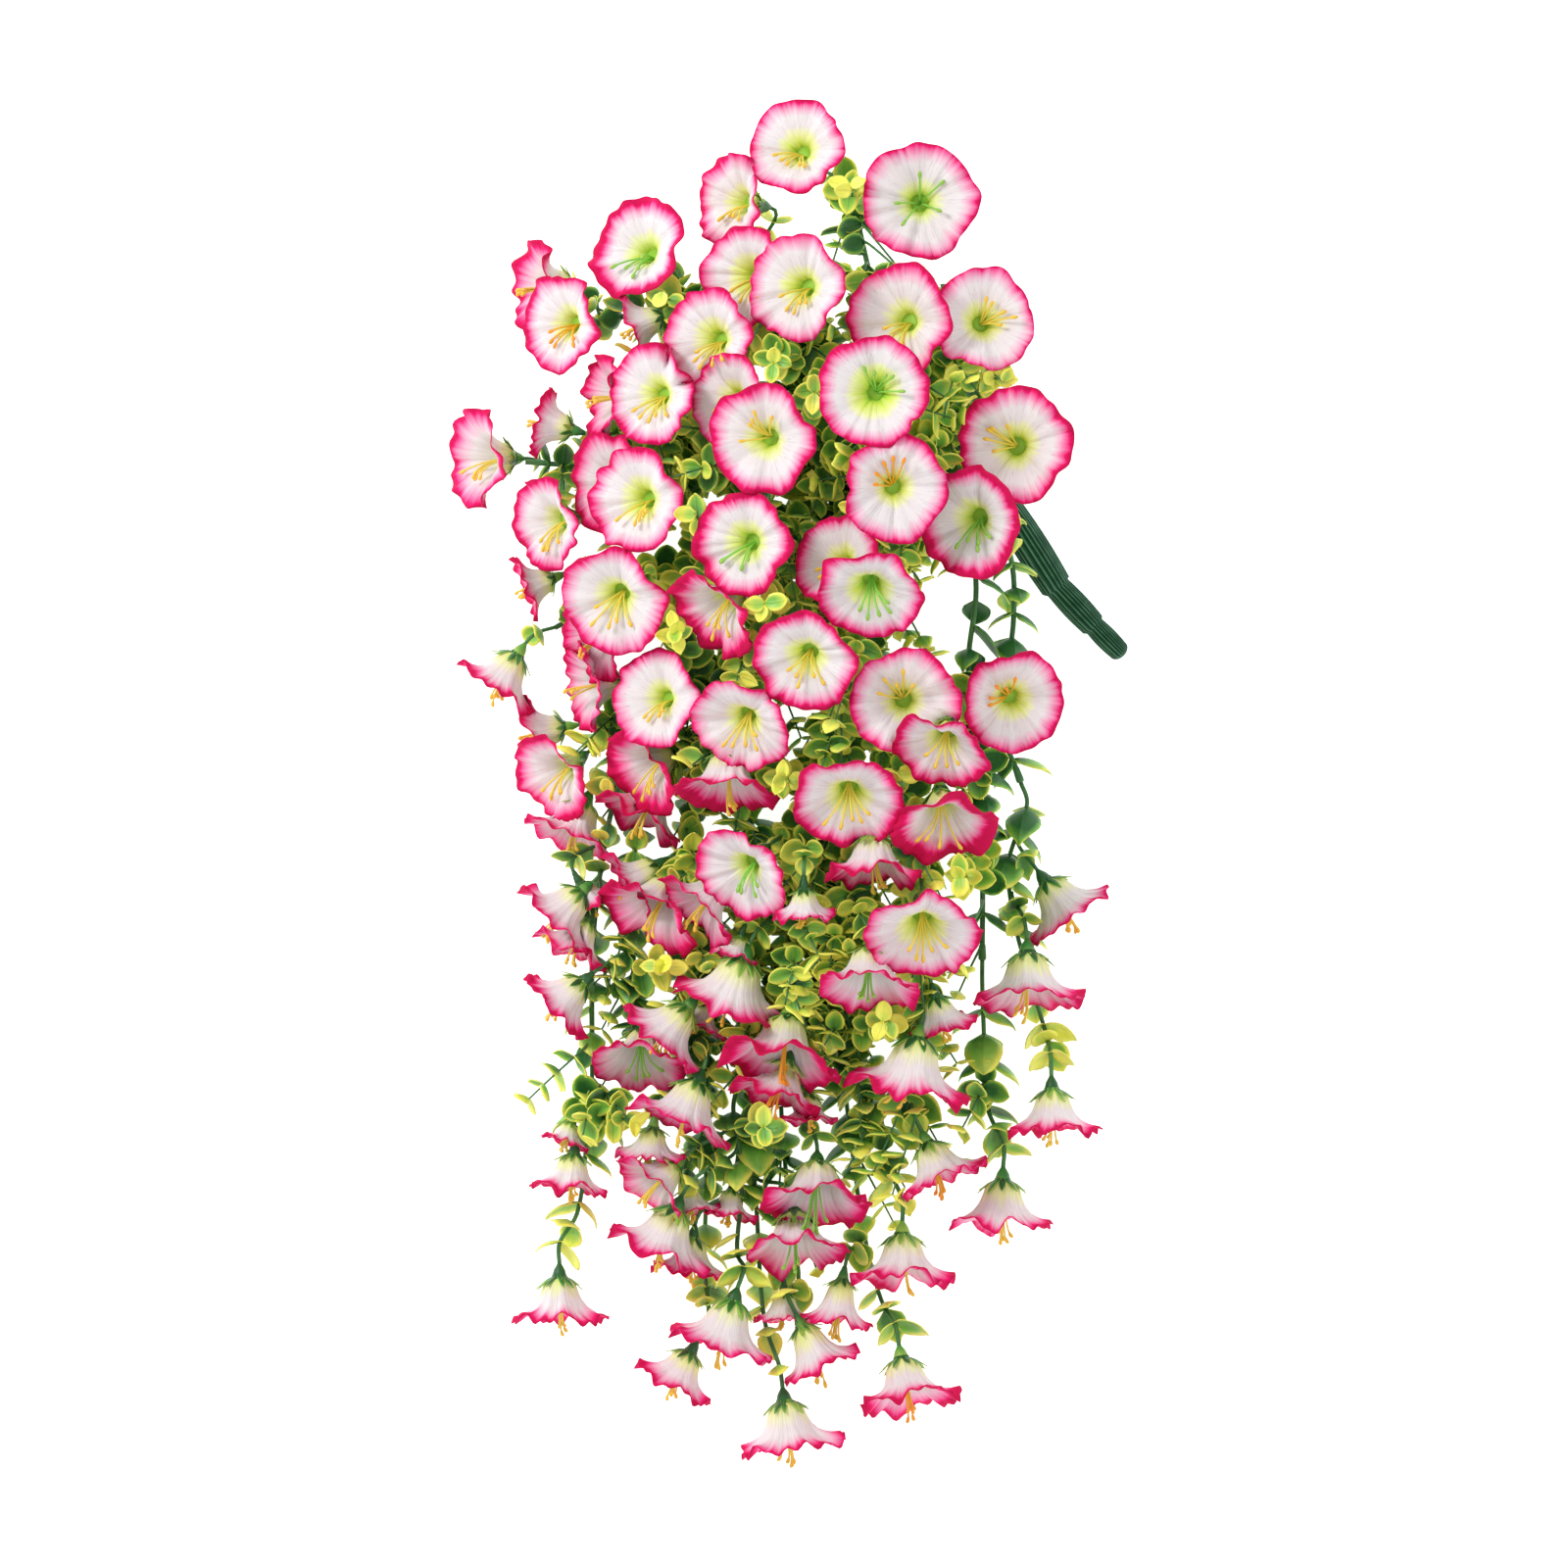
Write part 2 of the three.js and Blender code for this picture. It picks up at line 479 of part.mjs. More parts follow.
// ---- Assembly ----
const plans = Object.entries(BLOOMS).map(([number, row]) => bloomPlan(Number(number), row));
const planOf = Object.fromEntries(plans.map((plan) => [plan.number, plan]));
const branchLines = Object.fromEntries(
  Object.entries(BRANCHES).map(([name, points]) => [name, smooth(points.map(place))]));
const shootLines = Object.fromEntries(
  Object.entries(SHOOTS).map(([number, row]) => [`shoot_${number}`, shootLine(number, row)]));

function endOf(line) {
  const end = line[line.length - 1];
  return { end, direction: end.clone().sub(line[line.length - 2]).normalize() };
}

function shootLine(number, { on, by }) {
  const { end, direction } = endOf(branchLines[on]);
  const start = end.clone().addScaledVector(direction, SEAT_GAP);
  const plan = planOf[number];
  const neck = neckOf(plan);
  const lead = neck.clone().addScaledVector(plan.axis, -SHOOT_LEAD);
  return smooth([start, start.clone().addScaledVector(direction, SHOOT_LEAD), ...by.map(place), lead, neck]);
}

function stalkSolid(extra = 0) {
  const radii = STALK.map((row) => row[3] + extra);
  return loft(tube(STALK.map(place), radii, STALK_SIDES, { groove: FLUTE }).rings);
}

// A branch, with a tapered sleeve on its end where a shoot is pushed on.
function branchSolid(line, sleeved, extra = 0) {
  if (!sleeved) {
    return loft(tube(line, line.map(() => WIRE_RADIUS + sideAir(extra)), STEM_SIDES).rings);
  }
  const { end, direction } = endOf(line);
  const foot = end.clone().addScaledVector(direction, -SLEEVE_LENGTH);
  const points = [...line.slice(0, -1), foot, end];
  const radii = points.map((_, i) => (
    (i < points.length - 1 ? WIRE_RADIUS : SLEEVE_RADIUS) + sideAir(extra)));
  return loft(tube(points, radii, STEM_SIDES).rings);
}

// Every stem as the node that it belongs to, its line, and how it is made, with air round it or not.
function allStems() {
  const stems = [{ node: TRUNK, make: stalkSolid }];
  const sleeved = Object.values(SHOOTS).map(({ on }) => on);
  for (const [name, line] of Object.entries(branchLines)) {
    stems.push({ node: TRUNK, line, step: BRANCH_LEAF_STEP,
      make: (extra = 0) => branchSolid(line, sleeved.includes(name), extra) });
  }
  for (const [number, row] of Object.entries(SHOOTS)) {
    const name = `shoot_${number}`;
    stems.push({ node: name, line: shootLines[name], step: SHOOT_LEAF_STEP, bloom: Number(number),
      make: (extra = 0) => stemSolid(planOf[number], shootLines[name], SHOOT_RADIUS, extra) });
  }
  const clearOfSleeve = Object.entries(shootLines).map(([name, line]) => [name, line.slice(1)]);
  const carriers = { ...branchLines, ...Object.fromEntries(clearOfSleeve) };
  for (const plan of plans.filter(({ number }) => !SHOOTS[number])) {
    const fork = forkFor(plan, carriers);
    const line = flowerLine(plan, fork);
    stems.push({ node: fork.name.startsWith('shoot') ? fork.name : TRUNK, line, bloom: plan.number,
      step: FLOWER_LEAF_STEP,
      make: (extra = 0) => stemSolid(plan, line, STEM_RADIUS, extra) });
  }
  return stems;
}

// Blooms whose rims run into each other, as lists of their plans.
function bunchesOf(blooms) {
  const bunches = [];
  for (const bloom of blooms) {
    const met = bunches.filter((bunch) => bunch.some((other) => touches(other.piece, bloom.piece)));
    const rest = bunches.filter((bunch) => !met.includes(bunch));
    bunches.splice(0, bunches.length, ...rest, [...met.flat(), bloom]);
  }
  return bunches;
}

// A bloom with a slit wherever the stem of another one passes through it.
function slitBloom(plan, stems) {
  let piece = bloomSolid(plan);
  for (const stem of stems) {
    const cutter = stem.bloom === plan.number ? null : stem.make(SLIT_CLEAR);
    if (cutter && touches(piece, cutter)) {
      piece = piece.subtract(cutter);
    }
  }
  return largest(piece);
}

function largest(piece) {
  return piece.decompose().sort((a, b) => b.volume() - a.volume())[0];
}

// Leaf caps along the stems, left out where one would cross a bloom, a leaf or another stem.
function growLeaves(bodies, stems, bunches) {
  const random = randomFrom(LEAF_SEED);
  const grown = [];
  for (const stem of stems.filter(({ line }) => line)) {
    for (const spot of leafPlaces(stem.line, stem.step, random)) {
      const wide = leafSolid(spot, LEAF_CLEAR);
      const others = Object.entries(bodies).filter(([name]) => name !== stem.node);
      const blocked = wide.boundingBox().min[2] < 0
        || bunches.some((bunch) => touches(bunch, wide))
        || others.some(([, body]) => touches(body, wide))
        || grown.some((leaf) => touches(leaf.wide, wide));
      if (!blocked) {
        grown.push({ node: stem.node, wide, piece: leafSolid(spot) });
      }
    }
  }
  return grown;
}

const group = new THREE.Group();

function addMesh(name, piece, material) {
  const { vertProperties, triVerts } = piece.getMesh();
  const geometry = new THREE.BufferGeometry();
  geometry.setAttribute('position', new THREE.BufferAttribute(new Float32Array(vertProperties), 3));
  geometry.setIndex(new THREE.BufferAttribute(new Uint32Array(triVerts), 1));
  geometry.computeVertexNormals();
  const mesh = new THREE.Mesh(geometry, material.clone());
  mesh.name = name;
  group.add(mesh);
}

const greenPlastic = new THREE.MeshStandardMaterial({ color: 0x3f7f3a, roughness: 0.5, metalness: 0 });
const petalCloth = new THREE.MeshStandardMaterial({ color: 0xf6dfe6, roughness: 0.8, metalness: 0 });

const stems = allStems();
const names = [...new Set(stems.map(({ node }) => node))];
const bodies = Object.fromEntries(names.map((name) => [
  name, joined(stems.filter(({ node }) => node === name).map(({ make }) => make()))]));
const blooms = plans.map((plan) => ({ plan, piece: slitBloom(plan, stems) }));
const bunches = bunchesOf(blooms).map((bunch) => ({
  name: `bloom_${bunch.map(({ plan }) => plan.number).join('_')}`,
  piece: joined(bunch.map(({ piece }) => piece)) }));
const leaves = growLeaves(bodies, stems, bunches.map(({ piece }) => piece));
for (const name of names) {
  const own = leaves.filter(({ node }) => node === name).map(({ piece }) => piece);
  addMesh(name, joined([bodies[name], ...own]), greenPlastic);
}
for (const { name, piece } of bunches) {
  addMesh(name, piece, petalCloth);
}

export default group;
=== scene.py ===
# The looks of an artificial trailing petunia bush that lies on a pale floor, seen from above.
# Its blooms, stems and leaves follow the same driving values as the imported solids, in
# millimetres, and are turned into metres where a mesh is made.
import json
import math

import bpy
import numpy as np
from mathutils.bvhtree import BVHTree
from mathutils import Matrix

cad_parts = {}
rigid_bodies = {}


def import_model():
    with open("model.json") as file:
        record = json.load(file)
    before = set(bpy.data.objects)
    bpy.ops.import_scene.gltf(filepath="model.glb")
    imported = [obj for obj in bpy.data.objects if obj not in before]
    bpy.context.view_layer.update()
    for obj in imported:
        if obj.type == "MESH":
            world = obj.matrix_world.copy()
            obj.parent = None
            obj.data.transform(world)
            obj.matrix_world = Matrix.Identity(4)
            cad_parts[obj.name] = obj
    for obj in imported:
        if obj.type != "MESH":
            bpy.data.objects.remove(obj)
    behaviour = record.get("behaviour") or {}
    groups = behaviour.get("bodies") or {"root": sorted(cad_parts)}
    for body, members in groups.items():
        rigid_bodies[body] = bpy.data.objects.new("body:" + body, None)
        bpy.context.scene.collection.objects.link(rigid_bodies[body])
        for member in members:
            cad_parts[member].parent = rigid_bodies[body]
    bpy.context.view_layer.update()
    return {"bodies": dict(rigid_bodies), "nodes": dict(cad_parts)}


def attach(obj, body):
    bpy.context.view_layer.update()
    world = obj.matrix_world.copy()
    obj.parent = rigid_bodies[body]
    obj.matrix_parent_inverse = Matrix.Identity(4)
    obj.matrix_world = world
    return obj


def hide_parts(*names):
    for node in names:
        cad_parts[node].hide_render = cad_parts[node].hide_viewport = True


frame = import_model()

# ---- Driving values shared with the solids ----
MM = 0.001                  # metres
PIXEL = 0.55                # real size of one pixel of the photograph
CENTRE_X = 801              # pixel column over the origin
CENTRE_Y = 800              # pixel row over the origin
SEAT_GAP = 0.3              # air between two pieces that touch
LAYER_STEP = 7              # height between two layers of blooms
TOP_LAYER = 5               # the layer that lies on the front surface
CROWN = {"x": 930, "y": 480, "left": 430, "right": 200, "up": 420, "down": 620}  # dome, in pixels
FLAT_HEIGHT = 62            # front surface away from the crown
DOME_HEIGHT = 118           # what the crown adds to it
CURTAIN = {"top": 850, "full": 980, "fall": 1150, "end": 1290, "height": 34}  # the thick middle
FUNNEL_HEIGHT = 0.44        # of a bloom's diameter, from here down to the jitter
BASE_RADIUS = 0.06
VALLEY = 0.035              # how far the rim draws in between two lobes
WAVE = 0.035                # how far the rim waves up and down
JITTER = 0.02               # uneven part of the two
RIM_THICK = 0.9
LOBES = 5                   # lobes of a bloom's rim
SIDE_TILT = 60              # past this tilt a bloom is seen from its side
WIRE_RADIUS = 1.9           # of a branch
SHOOT_RADIUS = 1.6
STEM_RADIUS = 1.4           # of a flower stem
SLEEVE_RADIUS = 2.9
SLEEVE_LENGTH = 9
SLEEVE_STEP = 0.8           # length of a sleeve's thin end
SLEEVE_LIP = 1.2            # and of its rounded one
CALYX_REACH = 7             # length of a calyx below its bloom
CUP_WALL = 0.6              # how far a calyx stands out past its bloom's foot
STEM_REACH = 24             # straight end of a flower stem
STEM_START = 0.6            # share of it along the carrier where the stem forks off
REACH_SHARE = 0.5           # of a flower stem's length, the most that either one takes
SHOOT_LEAD = 12             # straight ends of a shoot
LONG_LINE = 5               # from this many points on, a solid's line gets no more between them
FORK_SHARES = (0.1, 0.5, 0.9)           # where a flower stem may fork off a stretch
TRUNK = "stalk_and_branches"

# Blooms: pixel column and row of the rim's centre, diameter in pixels, facing (degrees, 0 is
# right and 90 is up), tilt away from the viewer (degrees) and layer (5 is the front).
# A last number, where there is one, is the funnel's height as a share of the diameter.
BLOOMS = {
    1: (812, 150, 100, 135, 25, 2.7), 2: (938, 208, 118, 90, 3, 2), 3: (743, 205, 98, 172, 50, 0.2),
    4: (757, 285, 105, 180, 40, 2), 5: (811, 297, 108, 180, 30, 3), 6: (915, 330, 115, 170, 25, 1),
    7: (1003, 330, 105, 45, 12, 3), 8: (722, 350, 105, 180, 35, 2), 9: (890, 405, 112, 180, 5, 5.2),
    10: (742, 410, 95, 180, 40, 1), 11: (777, 453, 112, 200, 20, 3.3), 12: (664, 405, 102, 178, 35, 2.9),
    13: (612, 405, 90, 180, 70, 1), 14: (650, 253, 110, 150, 40, 3), 15: (541, 290, 98, 178, 68, 1),
    16: (570, 330, 102, 180, 45, 3), 17: (645, 335, 75, 200, 95, 0), 18: (482, 466, 103, 180, 60, 1),
    19: (552, 430, 75, 165, 100, 1), 20: (617, 492, 105, 180, 50, 0.4), 21: (648, 512, 108, 185, 35, 3),
    22: (757, 557, 106, 190, 25, 3.3), 23: (913, 503, 108, 315, 10, 4.2), 24: (985, 535, 115, 200, 30, 2),
    25: (1032, 458, 118, 180, 8, 3.4), 26: (852, 572, 95, 150, 35, 1), 27: (886, 610, 108, 265, 38, 4),
    28: (725, 630, 105, 225, 60, 3), 29: (555, 535, 98, 192, 50, 2), 30: (535, 600, 70, 200, 85, 1),
    31: (625, 615, 113, 225, 32, 4), 32: (600, 655, 95, 210, 65, 1), 33: (592, 700, 95, 190, 70, 1),
    34: (668, 713, 102, 178, 35, 2.4), 35: (503, 702, 95, 235, 92, 1), 36: (540, 748, 80, 190, 92, 0),
    37: (560, 795, 100, 215, 55, 2), 38: (652, 790, 100, 215, 60, 1.6), 39: (650, 838, 100, 240, 80, 0),
    40: (755, 742, 105, 237, 40, 4), 41: (740, 812, 105, 265, 73, 3.2), 42: (820, 677, 108, 240, 30, 4),
    43: (922, 718, 112, 290, 8, 2), 44: (957, 768, 100, 250, 50, 4), 45: (1033, 718, 105, 300, 20, 2),
    46: (865, 820, 115, 268, 40, 4.3), 47: (962, 847, 110, 275, 55, 4), 48: (755, 892, 105, 225, 45, 5),
    49: (890, 895, 100, 270, 80, 2), 50: (940, 955, 118, 270, 45, 4), 51: (885, 1010, 105, 268, 68, 4),
    52: (962, 1048, 75, 285, 100, 1), 53: (1093, 935, 100, 306, 92, 2), 54: (1050, 1022, 115, 272, 80, 3),
    55: (1075, 1155, 98, 272, 88, 2), 56: (1022, 1252, 106, 268, 88, 2), 57: (963, 1205, 95, 294, 85, 2),
    58: (921, 1308, 108, 270, 83, 3), 59: (925, 1113, 128, 258, 92, 4), 60: (852, 1352, 75, 260, 88, 2, 0.6),
    61: (838, 1397, 85, 295, 92, 2, 0.55), 62: (812, 1281, 104, 272, 70, 4),
    63: (832, 1233, 114, 268, 65, 3.75),
    64: (795, 1088, 122, 260, 70, 4), 66: (790, 1122, 95, 250, 80, 2), 67: (742, 1025, 118, 250, 100, 2.9),
    68: (672, 1060, 100, 227, 95, 3), 69: (650, 1090, 97, 262, 60, 1), 70: (692, 1148, 110, 246, 85, 3),
    71: (565, 1028, 90, 221, 95, 2), 72: (580, 972, 85, 240, 85, 1), 73: (562, 940, 97, 223, 90, 2),
    74: (578, 858, 100, 245, 80, 1), 75: (605, 925, 60, 300, 90, 1), 76: (640, 905, 85, 215, 85, 1.9),
    77: (660, 937, 112, 235, 65, 3), 78: (708, 930, 95, 225, 75, 3), 79: (820, 935, 65, 270, 95, 3),
    80: (662, 1182, 70, 262, 95, 0), 81: (660, 1215, 90, 222, 70, 2), 82: (670, 1278, 110, 246, 92, 3),
    83: (702, 1300, 80, 262, 92, 1), 84: (706, 1240, 60, 280, 85, 0), 85: (570, 1348, 98, 270, 90, 1),
    86: (733, 1375, 112, 252, 92, 3), 87: (685, 1415, 88, 240, 92, 2), 88: (807, 1478, 107, 278, 92, 2),
    89: (928, 1433, 105, 280, 78, 2), 90: (580, 1215, 82, 262, 85, 1), 91: (575, 1168, 50, 250, 85, 0),
    92: (800, 1350, 64, 270, 85, 0.5), 95: (742, 1243, 60, 260, 85, 0), 96: (825, 1145, 60, 270, 85, 0),
    97: (712, 1050, 60, 250, 85, 0.6), 98: (748, 977, 50, 250, 85, 1.1),
}

# Branches, moulded in one piece with the stalk: pixel column, pixel row and height of each point.
# Each one starts on the stalk's end or on a point of an earlier branch.
HUB = (955, 445, 58)
MIDDLE_1 = (880, 640, 58)
MIDDLE_2 = (850, 740, 54)
MIDDLE_3 = (830, 850, 46)
LEFT_1 = (740, 740, 40)
LEFT_2 = (700, 840, 36)
OUTER = (660, 720, 28)
UNDER = (866, 860, 42)
INNER_FORK = (813, 960, 36)
LEFT_FORK = (772, 1000, 26)
OUTER_FORK = (716, 940, 26)
BRANCHES = {
    "top": [HUB, [925, 380, 72], [893, 300, 72], [872, 215, 68], [862, 188, 66]],
    "top_right": [HUB, [968, 380, 68], [962, 290, 66]],
    "upper": [HUB, [890, 400, 58], [810, 345, 52], [735, 300, 46], [680, 318, 42], [610, 322, 36]],
    "inner": [HUB, [880, 455, 48], [790, 440, 42], [700, 440, 36], [650, 430, 32]],
    "left": [HUB, [880, 482, 42], [780, 480, 32], [690, 466, 28], [590, 473, 28], [535, 470, 28]],
    "low_left": [HUB, [890, 512, 46], [800, 545, 38], [700, 580, 30], [620, 610, 26], [565, 640, 26]],
    "outer": [HUB, [900, 540, 50], [820, 620, 42], [740, 680, 34], OUTER, [610, 732, 26]],
    "front": [HUB, [922, 480, 80], [892, 540, 84], [870, 590, 78]],
    "middle": [HUB, [925, 540, 60], MIDDLE_1, MIDDLE_2, MIDDLE_3],
    "inside_left": [[900, 540, 50], [800, 650, 46], LEFT_1, LEFT_2],
    "right": [HUB, [985, 520, 60], [996, 600, 62], [988, 680, 62], [1000, 780, 56], [1003, 890, 44],
        [1003, 980, 34]],
    "far_right": [HUB, [1005, 500, 54], [1032, 570, 52], [1034, 640, 52], [1020, 730, 50], [1042, 798, 44]],
    "down_57": [MIDDLE_1, [915, 760, 52], [932, 880, 42], [936, 1000, 34]],
    "down_58": [MIDDLE_2, UNDER, [862, 960, 34], [864, 1050, 30]],
    "down_89": [UNDER, [852, 960, 22], [858, 1060, 18]],
    "down_63": [MIDDLE_3, [842, 960, 36], [842, 1090, 32]],
    "down_62": [MIDDLE_3, INNER_FORK, [808, 1060, 34], [810, 1130, 34]],
    "down_61": [INNER_FORK, [795, 1050, 18], [797, 1130, 16]],
    "down_88": [LEFT_1, [770, 860, 34], LEFT_FORK, [768, 1135, 22]],
    "down_86": [LEFT_FORK, [752, 1110, 34]],
    "down_87": [LEFT_2, OUTER_FORK, [722, 1040, 20], [718, 1130, 18]],
    "down_82": [OUTER_FORK, [698, 1050, 32], [690, 1140, 34]],
    "down_80": [OUTER, [650, 820, 30], [645, 950, 28], [650, 1070, 26]],
    "down_85": [OUTER, [625, 820, 28], [605, 950, 26], [603, 1080, 24]],
}

# Shoots: bloom number, then the branch that each one is pushed on and the points that it runs by.
SHOOTS = {
    56: ("right", [[1005, 1060, 30], [1008, 1130, 28]]),
    55: ("far_right", [[1030, 880, 34], [1036, 940, 26], [1052, 1000, 22], [1068, 1055, 34]]),
    57: ("down_57", [[930, 1090, 20]]),
    58: ("down_58", [[888, 1120, 30], [906, 1190, 32]]),
    89: ("down_89", [[868, 1160, 10], [884, 1270, 6], [900, 1330, 14]]),
    61: ("down_61", [[806, 1240, 8], [815, 1310, 14]]),
    88: ("down_88", [[772, 1240, 20], [780, 1350, 22]]),
    86: ("down_86", [[757, 1200, 34], [752, 1280, 34]]),
    87: ("down_87", [[720, 1210, 8], [718, 1290, 8]]),
    85: ("down_85", [[598, 1160, 24], [588, 1240, 24]]),
}

# Blooms whose stem forks from a stem other than the nearest one.
FORKS = {95: "shoot_86"}

# The stalk: pixel column, pixel row and height of its middle, and its radius.
STALK = [
    [1148, 668, 6.1, 4.4], [1143, 662, 6.1, 6.1], [1119, 638, 8, 6.1], [1117, 636, 8.2, 7.6],
    [1081, 598, 12, 7.6], [1079, 596, 12.2, 9.4], [1030, 520, 26, 9.4], [985, 470, 44, 9.6],
    [955, 445, 58, 11], [925, 425, 62, 7],
]
FLUTE = 0.14                # how deep the flutes round it are

# ---- Looks ----
AROUND = 96                 # points round a bloom
ALONG = 18                  # rows of points from its foot to its rim
CLOTH = 0.45                # thickness of the petals
FOOT_RISE = 0.4             # height of a petal's foot over its seat
PRINT_SEEDS = (1.48, 1.11)  # how far a bloom's number shifts the noise in its print
# A bloom's outline from foot to rim: radius as a share of its diameter, and height of its own.
OPEN_PROFILE = [(0.06, 0), (0.067, 0.2), (0.08, 0.42), (0.115, 0.6), (0.185, 0.74), (0.28, 0.85),
                (0.39, 0.93), (0.5, 1)]
BELL_PROFILE = [(0.06, 0), (0.125, 0.07), (0.165, 0.2), (0.19, 0.38), (0.225, 0.58), (0.29, 0.77),
                (0.39, 0.92), (0.5, 1)]
# What a bloom's number is added to, for the seed of each of its parts.
PETAL_SEED = 1000
STAMEN_SEED = 2000
CALYX_SEED = 3000
PRINT_SEED = 4000
RUFFLES = (4, 5, 7, 9, 12, 17)          # waves round the rim
RUFFLE_HEIGHT = 0.030       # of a bloom's diameter, and for a hanging one
HANGING_RUFFLE = 0.044
RIPPLE = 0.021              # how far the rim's outline is uneven
CREASES = 11                # folds that run out from the throat
CREASE_DEPTH = 0.027        # of a bloom's diameter
CREASE_WIDTH = (0.07, 0.10)             # the least, in radians, and what a draw adds at most
CREASE_HEIGHT = (0.25, 1)   # the same for its height
CREASE_BEND = 0.25          # in radians, to either side half of it
CREASES_START = (0.02, 0.3)             # shares of the way out where they grow
CREASES_FADE = (0.7, 1.0)   # and where they fade towards the rim
CREASE_FADE = 0.45          # by this share
FOLDED_IN = 0.75            # share of the creases that are folded inwards
FOLDED_OUT = -0.8           # height of the others
NOTCHES = 3                 # narrow gaps in a rim, at most
NOTCH_DEPTH = 0.09
NOTCH_WIDTH = 0.11          # in radians
BELL_TILTS = (42, 66)       # between these tilts a bloom's form changes from open to bell
BLOOM_GAP = 1.2             # air under a bloom that lies on another one
BLOOM_PRESS = 16            # the furthest that it is pressed down
PRESS_ROUNDS = 4            # how often that is spread to the points beside
FOOT_ROWS = 3               # rows at its foot that no bloom in front presses
RAY_START = -50             # a height below all the blooms
STAMENS = 5
STAMEN_RADIUS = 0.55
STAMEN_SIDES = 6
ANTHER = (1.9, 2.1, 0.9)    # its radius at three points, as shares of a stamen's
# How far a stamen's tip is up its bloom and out from its axis: the least and what a draw adds,
# as shares of the bloom's height and diameter, first for an open bloom and then for a hanging one.
TIP_HEIGHT = ((0.92, 0.22), (1.12, 0.34))
TIP_OUT = ((0.17, 0.15), (0.05, 0.13))
# The same for its root and its knee, and how far before its tip it bends.
ROOT_OUT = 0.012
KNEE_HEIGHT = 0.72
KNEE_OUT = 0.035
TIP_BEND = 0.10
OPEN_TILT = 20              # up to this tilt stamens may lean to any side
STAR_FAN = 1.25             # angle between two stamens, where they stand all round
SIDE_FAN = 0.42             # and where they lean to one side
THROAT_OPEN = 0.40          # how far up an open bloom the foot of its stamens reaches
THROAT_BELL = 0.06          # and a hanging one
THROAT_DIP = 0.35           # how far its middle is sunk
THROAT_TONE = -1.0          # which makes it green
THROAT_SIDES = 24
GREEN_STAMENS = {2, 9, 14, 22, 24, 27, 48, 51, 62, 63, 69}
ORANGE_STAMENS = {16, 23, 45, 57, 64, 66, 89}
# How wide some blooms' throats glow and how deep a pink their rims have, where no draw says so.
GLOWING = {4: 0.9, 9: 1.2, 21: 0.6, 28: 1.0, 80: 1.0, 27: 0.7, 50: 0.6, 22: 0.6}
DEEP_PINK = {24: 0.8, 28: 0.7, 47: 1.3, 64: 0.6, 22: 0.6, 14: 0.8, 41: 0.9, 38: 0.8, 66: 0.5}
GLOW_SHIFT = 0.45           # how far glowing shifts the print, and between which shares it ends
GLOW_ENDS = (0.2, 0.75)
PINK_SHIFT = 0.13           # how far pink does, and between which shares it starts
PINK_STARTS = (0.3, 0.8)
SEPALS = 10
SEPAL_LENGTH = (0.15, 0.08)             # of a bloom's diameter: the least, and what a draw adds
SEPAL_WIDTH = 0.46          # of the cup's radius
SEPAL_COLUMNS = 5
# Rings of a calyx's cup: heights from its bloom's seat, and radii of the upper ones, of the cup's.
CUP_HEIGHTS = (-CALYX_REACH - 1, -CALYX_REACH, -5.6, -4, -2, -0.4, 0.6)
CUP_SHARES = (0.62, 0.85, 1, 1.04, 1)
CUP_SIDES = 14
BLADE_ROWS = 8              # rows of points of a sepal or a leaf
RIB_DEPTH = 0.07            # of the stalk's radius
RIBS = 22
RIB_SHIFT = 0.9             # how unevenly they are spaced
STALK_SIDES = 160
BULGE = 0.09                # how much thicker the stalk is half way between its steps
STRETCH_STEPS = 8           # rings to each stretch of the stalk that keeps its width
ROUND_STEPS = 6             # rings in the stalk's rounded end
ROUND_SHARE = 0.8           # how far it reaches, as a share of its radius
BRANCH_STEPS = 8            # points to each stretch of a branch, and of a shoot
SHOOT_STEPS = 6
STEM_STEPS = 12             # points of a flower stem, a sprig or a stamen
STEM_SIDES = 8
ROUND_STEM = 0.8            # radius of a round stem that looks as wide as a three-sided one
LEAF_STEP = 14              # distance between two pairs of leaves
# Length, width and how much of the droop, for the leaves of hanging stems and of sprigs.
LEAF_FORMS = {"cap": (15.5, 18.5, 1.25), "sprig": (17, 15.5, 0.85)}
LEAF_COLUMNS = 7            # points across a leaf
LEAF_HEART = (4, 3)         # row and column of its middle point
LEAF_TIP = 0.3              # half its width at the tip
LEAF_ARCH = 1.35            # radians of the arch that it bends in
LEAF_WAVE = 0.35            # how far its edges wave
LEAF_DROOP = 11
LEAF_THICK = 0.5
LEAF_SIZE = (0.8, 0.4)      # of the length and width above: the least, and what a draw adds
TIP_SMALLER = 0.35          # how much smaller the leaves get towards a stem's tip
SHOOT_LEAF = 1.3            # how much larger they are on a shoot
LEAF_SPACE = 5.0            # nearest that the middles of two leaves come
LEAF_SEED = 11
OWN_TINT = 0.35             # how much the leaves of one stem are alike in colour
LEAF_PAINTED_DEPTH_SHADE = 0.18     # how much darker green the leaves deep in the bush are painted: painted shade
PAINTED_SHADE_DEPTHS = (8, 60)     # depths under the front surface between which that painted shade grows
SPRIG_SPREAD = 200          # pixels from the crown's middle at which sprigs half lean away
SPRIG_LEAN = 0.8            # how much of their lean is down, and astray
SPRIG_STEP = 11.5           # distance between two leafy sprigs on a branch
SPRIG_LENGTH = 46
SPRIG_SHARE = (0.55, 0.6)   # of that length: the least, and what a draw adds
SPRIG_THINNED = 0.75        # how many of the shorter ones are left out at the last row
SPRIG_ROOM = 6              # room that a sprig needs to rise
SPRIG_POINTS = 4            # a line with no more points is too short
SPRIG_DEPTH = 14            # how far sprigs stay under the front surface
SPRIG_LEAF_STEP = 11
SPRIG_RADIUS = 0.9
SPRIG_TAPER = 0.6
SPRIG_SEED = 23
